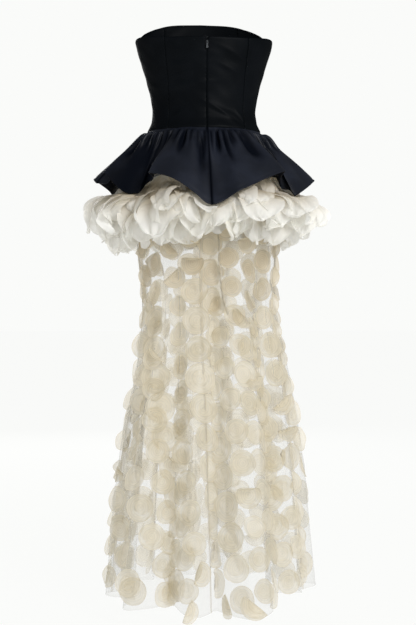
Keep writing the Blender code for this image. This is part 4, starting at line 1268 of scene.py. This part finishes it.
class Drape:
    """Lays a disc on the net: flat where it can be, and bent where a fold is in its way."""

    RINGS = (0.10, 0.26, 0.42, 0.58, 0.72, 0.84, 0.93, 1.0)
    SECTORS = 24

    def __init__(self, panels):
        points, faces = [], []
        for grid in panels:
            faces += grid_faces(*grid.shape[:2], start=len(points))
            points += grid.reshape(-1, 3).tolist()
        self.net = BVHTree.FromPolygons(points, faces)

    def off_net(self, point, clearance):
        """The point, moved out until it is clear of the net."""
        point = Vector(point)
        for _ in range(3 if point.z > SKIRT_SECTIONS[-1][0] else 0):
            on, normal, _, _ = self.net.find_nearest(point)
            off = (point - on).dot(normal)
            if off >= clearance:
                break
            point += normal * (clearance - off + 0.0001)
        return tuple(point)

    def frame_at(self, rng, angle, z, yaw):
        """The place where a disc is stitched, and its directions out, down and to the side."""
        at, level = np.array([angle]), np.array([z])
        seat = skirt_surface(at, level)[0]
        normal = normals_of(skirt_surface, at, level, step_across=FOLD_STEP)[0]
        away = np.array([seat[0], seat[1], 0]) / math.hypot(seat[0], seat[1])
        normal = normal * (1 - DISC_OUTWARDS) + away * DISC_OUTWARDS + rng.normal(0, DISC_TILT, 3)
        edge = float(fade(abs(away[0]), 0.78, 0.97) * (1 - fade(away[1], 0.0, 0.3)))
        which = 0 if away[0] > 0 else 1
        facing = EDGE_TURNS[which] * edge
        normal = normal * (1 - facing) + np.array([0, -facing, 0])
        seat = seat - away * EDGE_SINKS[which] * edge
        seat = seat + away * SIDEWAYS_OFF * abs(math.sin(math.radians(yaw)))
        turned = math.radians(yaw)
        across, behind = normal[0], normal[1]
        normal[0] = across * math.cos(turned) - behind * math.sin(turned)
        normal[1] = across * math.sin(turned) + behind * math.cos(turned)
        normal = normal / np.linalg.norm(normal)
        down = np.array([0, 0, -1]) + normal * normal[2]
        down = down / np.linalg.norm(down)
        return seat, normal, down, np.cross(down, normal)

    def disc(self, rng, angle, z, radius, yaw, fold):
        """The points of one disc, its middle first. fold turns a part of it over."""
        seat, normal, down, side = self.frame_at(rng, angle, z, yaw)
        turns = np.arange(self.SECTORS) * 2 * math.pi / self.SECTORS
        ring = np.repeat(self.RINGS, self.SECTORS)
        turn = np.tile(turns, len(self.RINGS))
        wave = 1 + 0.02 * np.sin(3 * turn + rng.uniform(0, 6))
        x = radius * ring * wave * np.cos(turn)
        y = radius * ring * wave * np.sin(turn)
        laid_x, laid_y = rng.normal(0, 0.10, 2) * radius
        laid_radius = radius * rng.uniform(0.52, 0.82)
        core = np.hypot(x - laid_x, y - laid_y) / laid_radius
        cup = rng.uniform(*DISC_CUP)
        height = DISC_OFF_NET + cup * ring**2 + rng.uniform(*DISC_LEAN) * ring * np.sin(turn)
        height += rng.uniform(*DISC_SADDLE) * ring**2 * np.sin(2 * turn + rng.uniform(0, 6))
        height += DISC_FRILL * ring**2 * np.sin(5 * turn + rng.uniform(0, 6))
        height += crumple(rng, x, y + CRUSH_MIDDLE, creases=3, slope=0.05)
        if fold is not None:
            x, y, height = self.turned_over(x, y, height, radius, *fold)
        points = seat + side * x[:, None] + down * y[:, None] + normal * height[:, None]
        points = [self.off_net(p, DISC_OFF_NET + 0.0010 * r) for p, r in zip(points, ring)]
        middle = self.off_net(seat + normal * DISC_OFF_NET, 0.0010)
        middle_core = math.hypot(laid_x, laid_y) / laid_radius
        return [middle, *points], [0.0, *ring], [middle_core, *core]

    def turned_over(self, x, y, height, radius, direction, start, sharp):
        """Bends the part of a disc beyond a line across it outwards."""
        dx, dy = math.cos(direction), math.sin(direction)
        bend = np.clip(x * dx + y * dy - start * radius, 0, None)
        most = sharp * FOLD_BEND
        turned = np.minimum(bend, most) / FOLD_BEND
        straight = np.clip(bend - most, 0, None)
        forward = FOLD_BEND * np.sin(turned) + straight * math.cos(sharp)
        rise = FOLD_BEND * (1 - np.cos(turned)) + straight * math.sin(sharp)
        return x + dx * (forward - bend), y + dy * (forward - bend), height + rise

    def faces(self, start):
        """Faces of one disc, whose middle point has the number start."""
        found = []
        for s in range(self.SECTORS):
            nxt = (s + 1) % self.SECTORS
            found.append((start, start + 1 + s, start + 1 + nxt))
            for r in range(len(self.RINGS) - 1):
                a = start + 1 + r * self.SECTORS
                b = a + self.SECTORS
                found.append((a + s, b + s, b + nxt, a + nxt))
        return found


def scattered_discs():
    """Every disc's angle, height, radius, how far it is turned to the side, and its fold."""
    discs = []
    for row in DISC_COLUMNS:
        discs += discs_down(row, DISC_PITCH, top=DISC_TOP)
    for row in LOW_COLUMNS:
        discs += discs_down(row, LOW_COLUMN_PITCH, top=row[2])
    return [(*disc, 0.0, None) for disc in discs] + list(HEM_DISCS)


def make_discs(rng, name, drape, discs, organza):
    """The discs that are stitched to one panel, as one piece, and the area of their cloth."""
    places, faces, rings, cores, tones, lows = [], [], [], [], [], []
    area = 0.0
    for angle, z, radius, yaw, fold in discs:
        first, last = seam_angles(name, np.array(z))
        turn = float((angle - first) % 360 + first)
        if not first <= turn < last:
            continue
        if rng.random() < TURNED_OVER_SHARE:
            fold = (rng.uniform(-2.6, -0.4), rng.uniform(-0.1, 0.45), rng.uniform(1.2, 2.6))
        larger = 1.03 + 0.15 * float(1 - fade(z, -0.75, -0.30))
        radius *= rng.uniform(*DISC_SPREAD) * larger
        disc, ring, core = drape.disc(rng, turn, z, radius, yaw, fold)
        faces += drape.faces(len(places))
        places += disc
        rings += ring
        cores += core
        tones += [rng.uniform(0, 1)] * len(disc)
        # How low the disc hangs, which sets the painted shade under the petals
        lows += [float(1 - fade(z, -0.55, -0.28))] * len(disc)
        area += math.pi * radius**2
    measures = {"ring": rings, "core": cores, "tone": tones, "low": lows}
    return cloth_mesh(name + "_discs", places, faces, organza, measures), area


def make_skirt(net, organza):
    """Three folded panels of net, and the discs that are stitched to each."""
    shapes = {name: net_panel(name, columns) for name, columns in NET_COLUMNS.items()}
    drape = Drape([points for points, _, _ in shapes.values()])
    rng = np.random.default_rng(5)
    discs = scattered_discs()
    for name, (_, points, doubled) in shapes.items():
        applied, area = make_discs(rng, name, drape, discs, organza)
        piece = cloth_mesh(name + "_net", points, grid_faces(*doubled.shape), net, {"doubled": doubled})
        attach(applied, "gown")
        strip = (DISC_OFFCUTS * area / DISC_STRIP, DISC_STRIP)
        name + "_net"
        flat, area = cut_size(points), surface_area(points)
        wear(piece, [name], area)


def finish_metal(metal):
    """The slider, its pull tab, the hook and the eye keep their own shapes."""
    for name in ("zip_slider", "zip_pull", "neck_hook", "neck_eye"):
        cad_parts[name].material_slots[0].material = metal


def light_the_air():
    """A white surround that is seen at full strength and lights the gown with a part of it."""
    world = bpy.data.worlds.new("studio")
    bpy.context.scene.world = world
    world.use_nodes = True
    nodes, links = world.node_tree.nodes, world.node_tree.links
    shown = nodes["Background"]
    shown.inputs["Color"].default_value = (*BACKDROP, 1)
    around = nodes.new("ShaderNodeBackground")
    around.inputs["Color"].default_value = (*BACKDROP, 1)
    around.inputs["Strength"].default_value = SURROUND
    ray = nodes.new("ShaderNodeLightPath")
    either = nodes.new("ShaderNodeMixShader")
    links.new(ray.outputs["Is Camera Ray"], either.inputs[0])
    links.new(around.outputs[0], either.inputs[1])
    links.new(shown.outputs[0], either.inputs[2])
    links.new(either.outputs[0], nodes["World Output"].inputs["Surface"])


def lay_floor():
    """A plain pale floor that fades into the surround."""
    pale = Finish("floor_pale", (0.03, 0.03, 0.03), 0.9, Specular_IOR_Level=0.0)
    pale.set("Roughness", 0.85 + 0.1 * pale.noise(3))
    pale.shader.inputs["Emission Color"].default_value = (*BACKDROP, 1)
    pale.shader.inputs["Emission Strength"].default_value = FLOOR_GLOW
    sides = ((-1, -1), (1, -1), (1, 1), (-1, 1))
    corners = [(x * FLOOR_HALF_SIZE, y * FLOOR_HALF_SIZE, FLOOR_LEVEL) for x, y in sides]
    floor = cloth_mesh("floor", corners, [(0, 1, 2, 3)], pale.material)


def hang_lights():
    """Soft square lights, all aimed at the middle of the gown."""
    for name, place, size, power in STUDIO_LIGHTS:
        light = bpy.data.lights.new(name, "AREA")
        light.size = size
        light.energy = power
        lamp = bpy.data.objects.new(name, light)
        bpy.context.scene.collection.objects.link(lamp)
        lamp.location = place
        aim = Vector(LIGHTS_AIM) - Vector(place)
        lamp.rotation_euler = aim.to_track_quat("-Z", "Y").to_euler()


def place_camera():
    """The camera stands behind the gown, a little to the left, and looks level."""
    scene = bpy.context.scene
    camera = bpy.data.cameras.new("camera")
    camera.lens = CAMERA_LENS
    camera.sensor_width = 36
    seen_from = bpy.data.objects.new("camera", camera)
    scene.collection.objects.link(seen_from)
    turn = math.radians(CAMERA_AZIMUTH)
    right = Vector((math.cos(turn), math.sin(turn), 0))
    back = Vector((math.sin(turn), -math.cos(turn), 0))
    seen_from.location = back * CAMERA_DISTANCE + right * CAMERA_SHIFT + Vector((0, 0, CAMERA_HEIGHT))
    seen_from.rotation_euler = (-back).to_track_quat("-Z", "Y").to_euler()
    scene.camera = seen_from


def make_studio():
    """The surround, the floor, the lights and the camera."""
    bpy.context.scene.view_settings.view_transform = "Standard"
    bpy.context.scene.cycles.transparent_max_bounces = 32
    light_the_air()
    lay_floor()
    hang_lights()
    place_camera()


make_studio()
make_bodice(black_crepe("bodice_crepe", **BODICE_CREPE))
make_peplum(black_crepe("peplum_crepe", **PEPLUM_CREPE))
make_skirt(skirt_net(), disc_organza())
make_petals(petal_organza())
finish_metal(dark_metal())
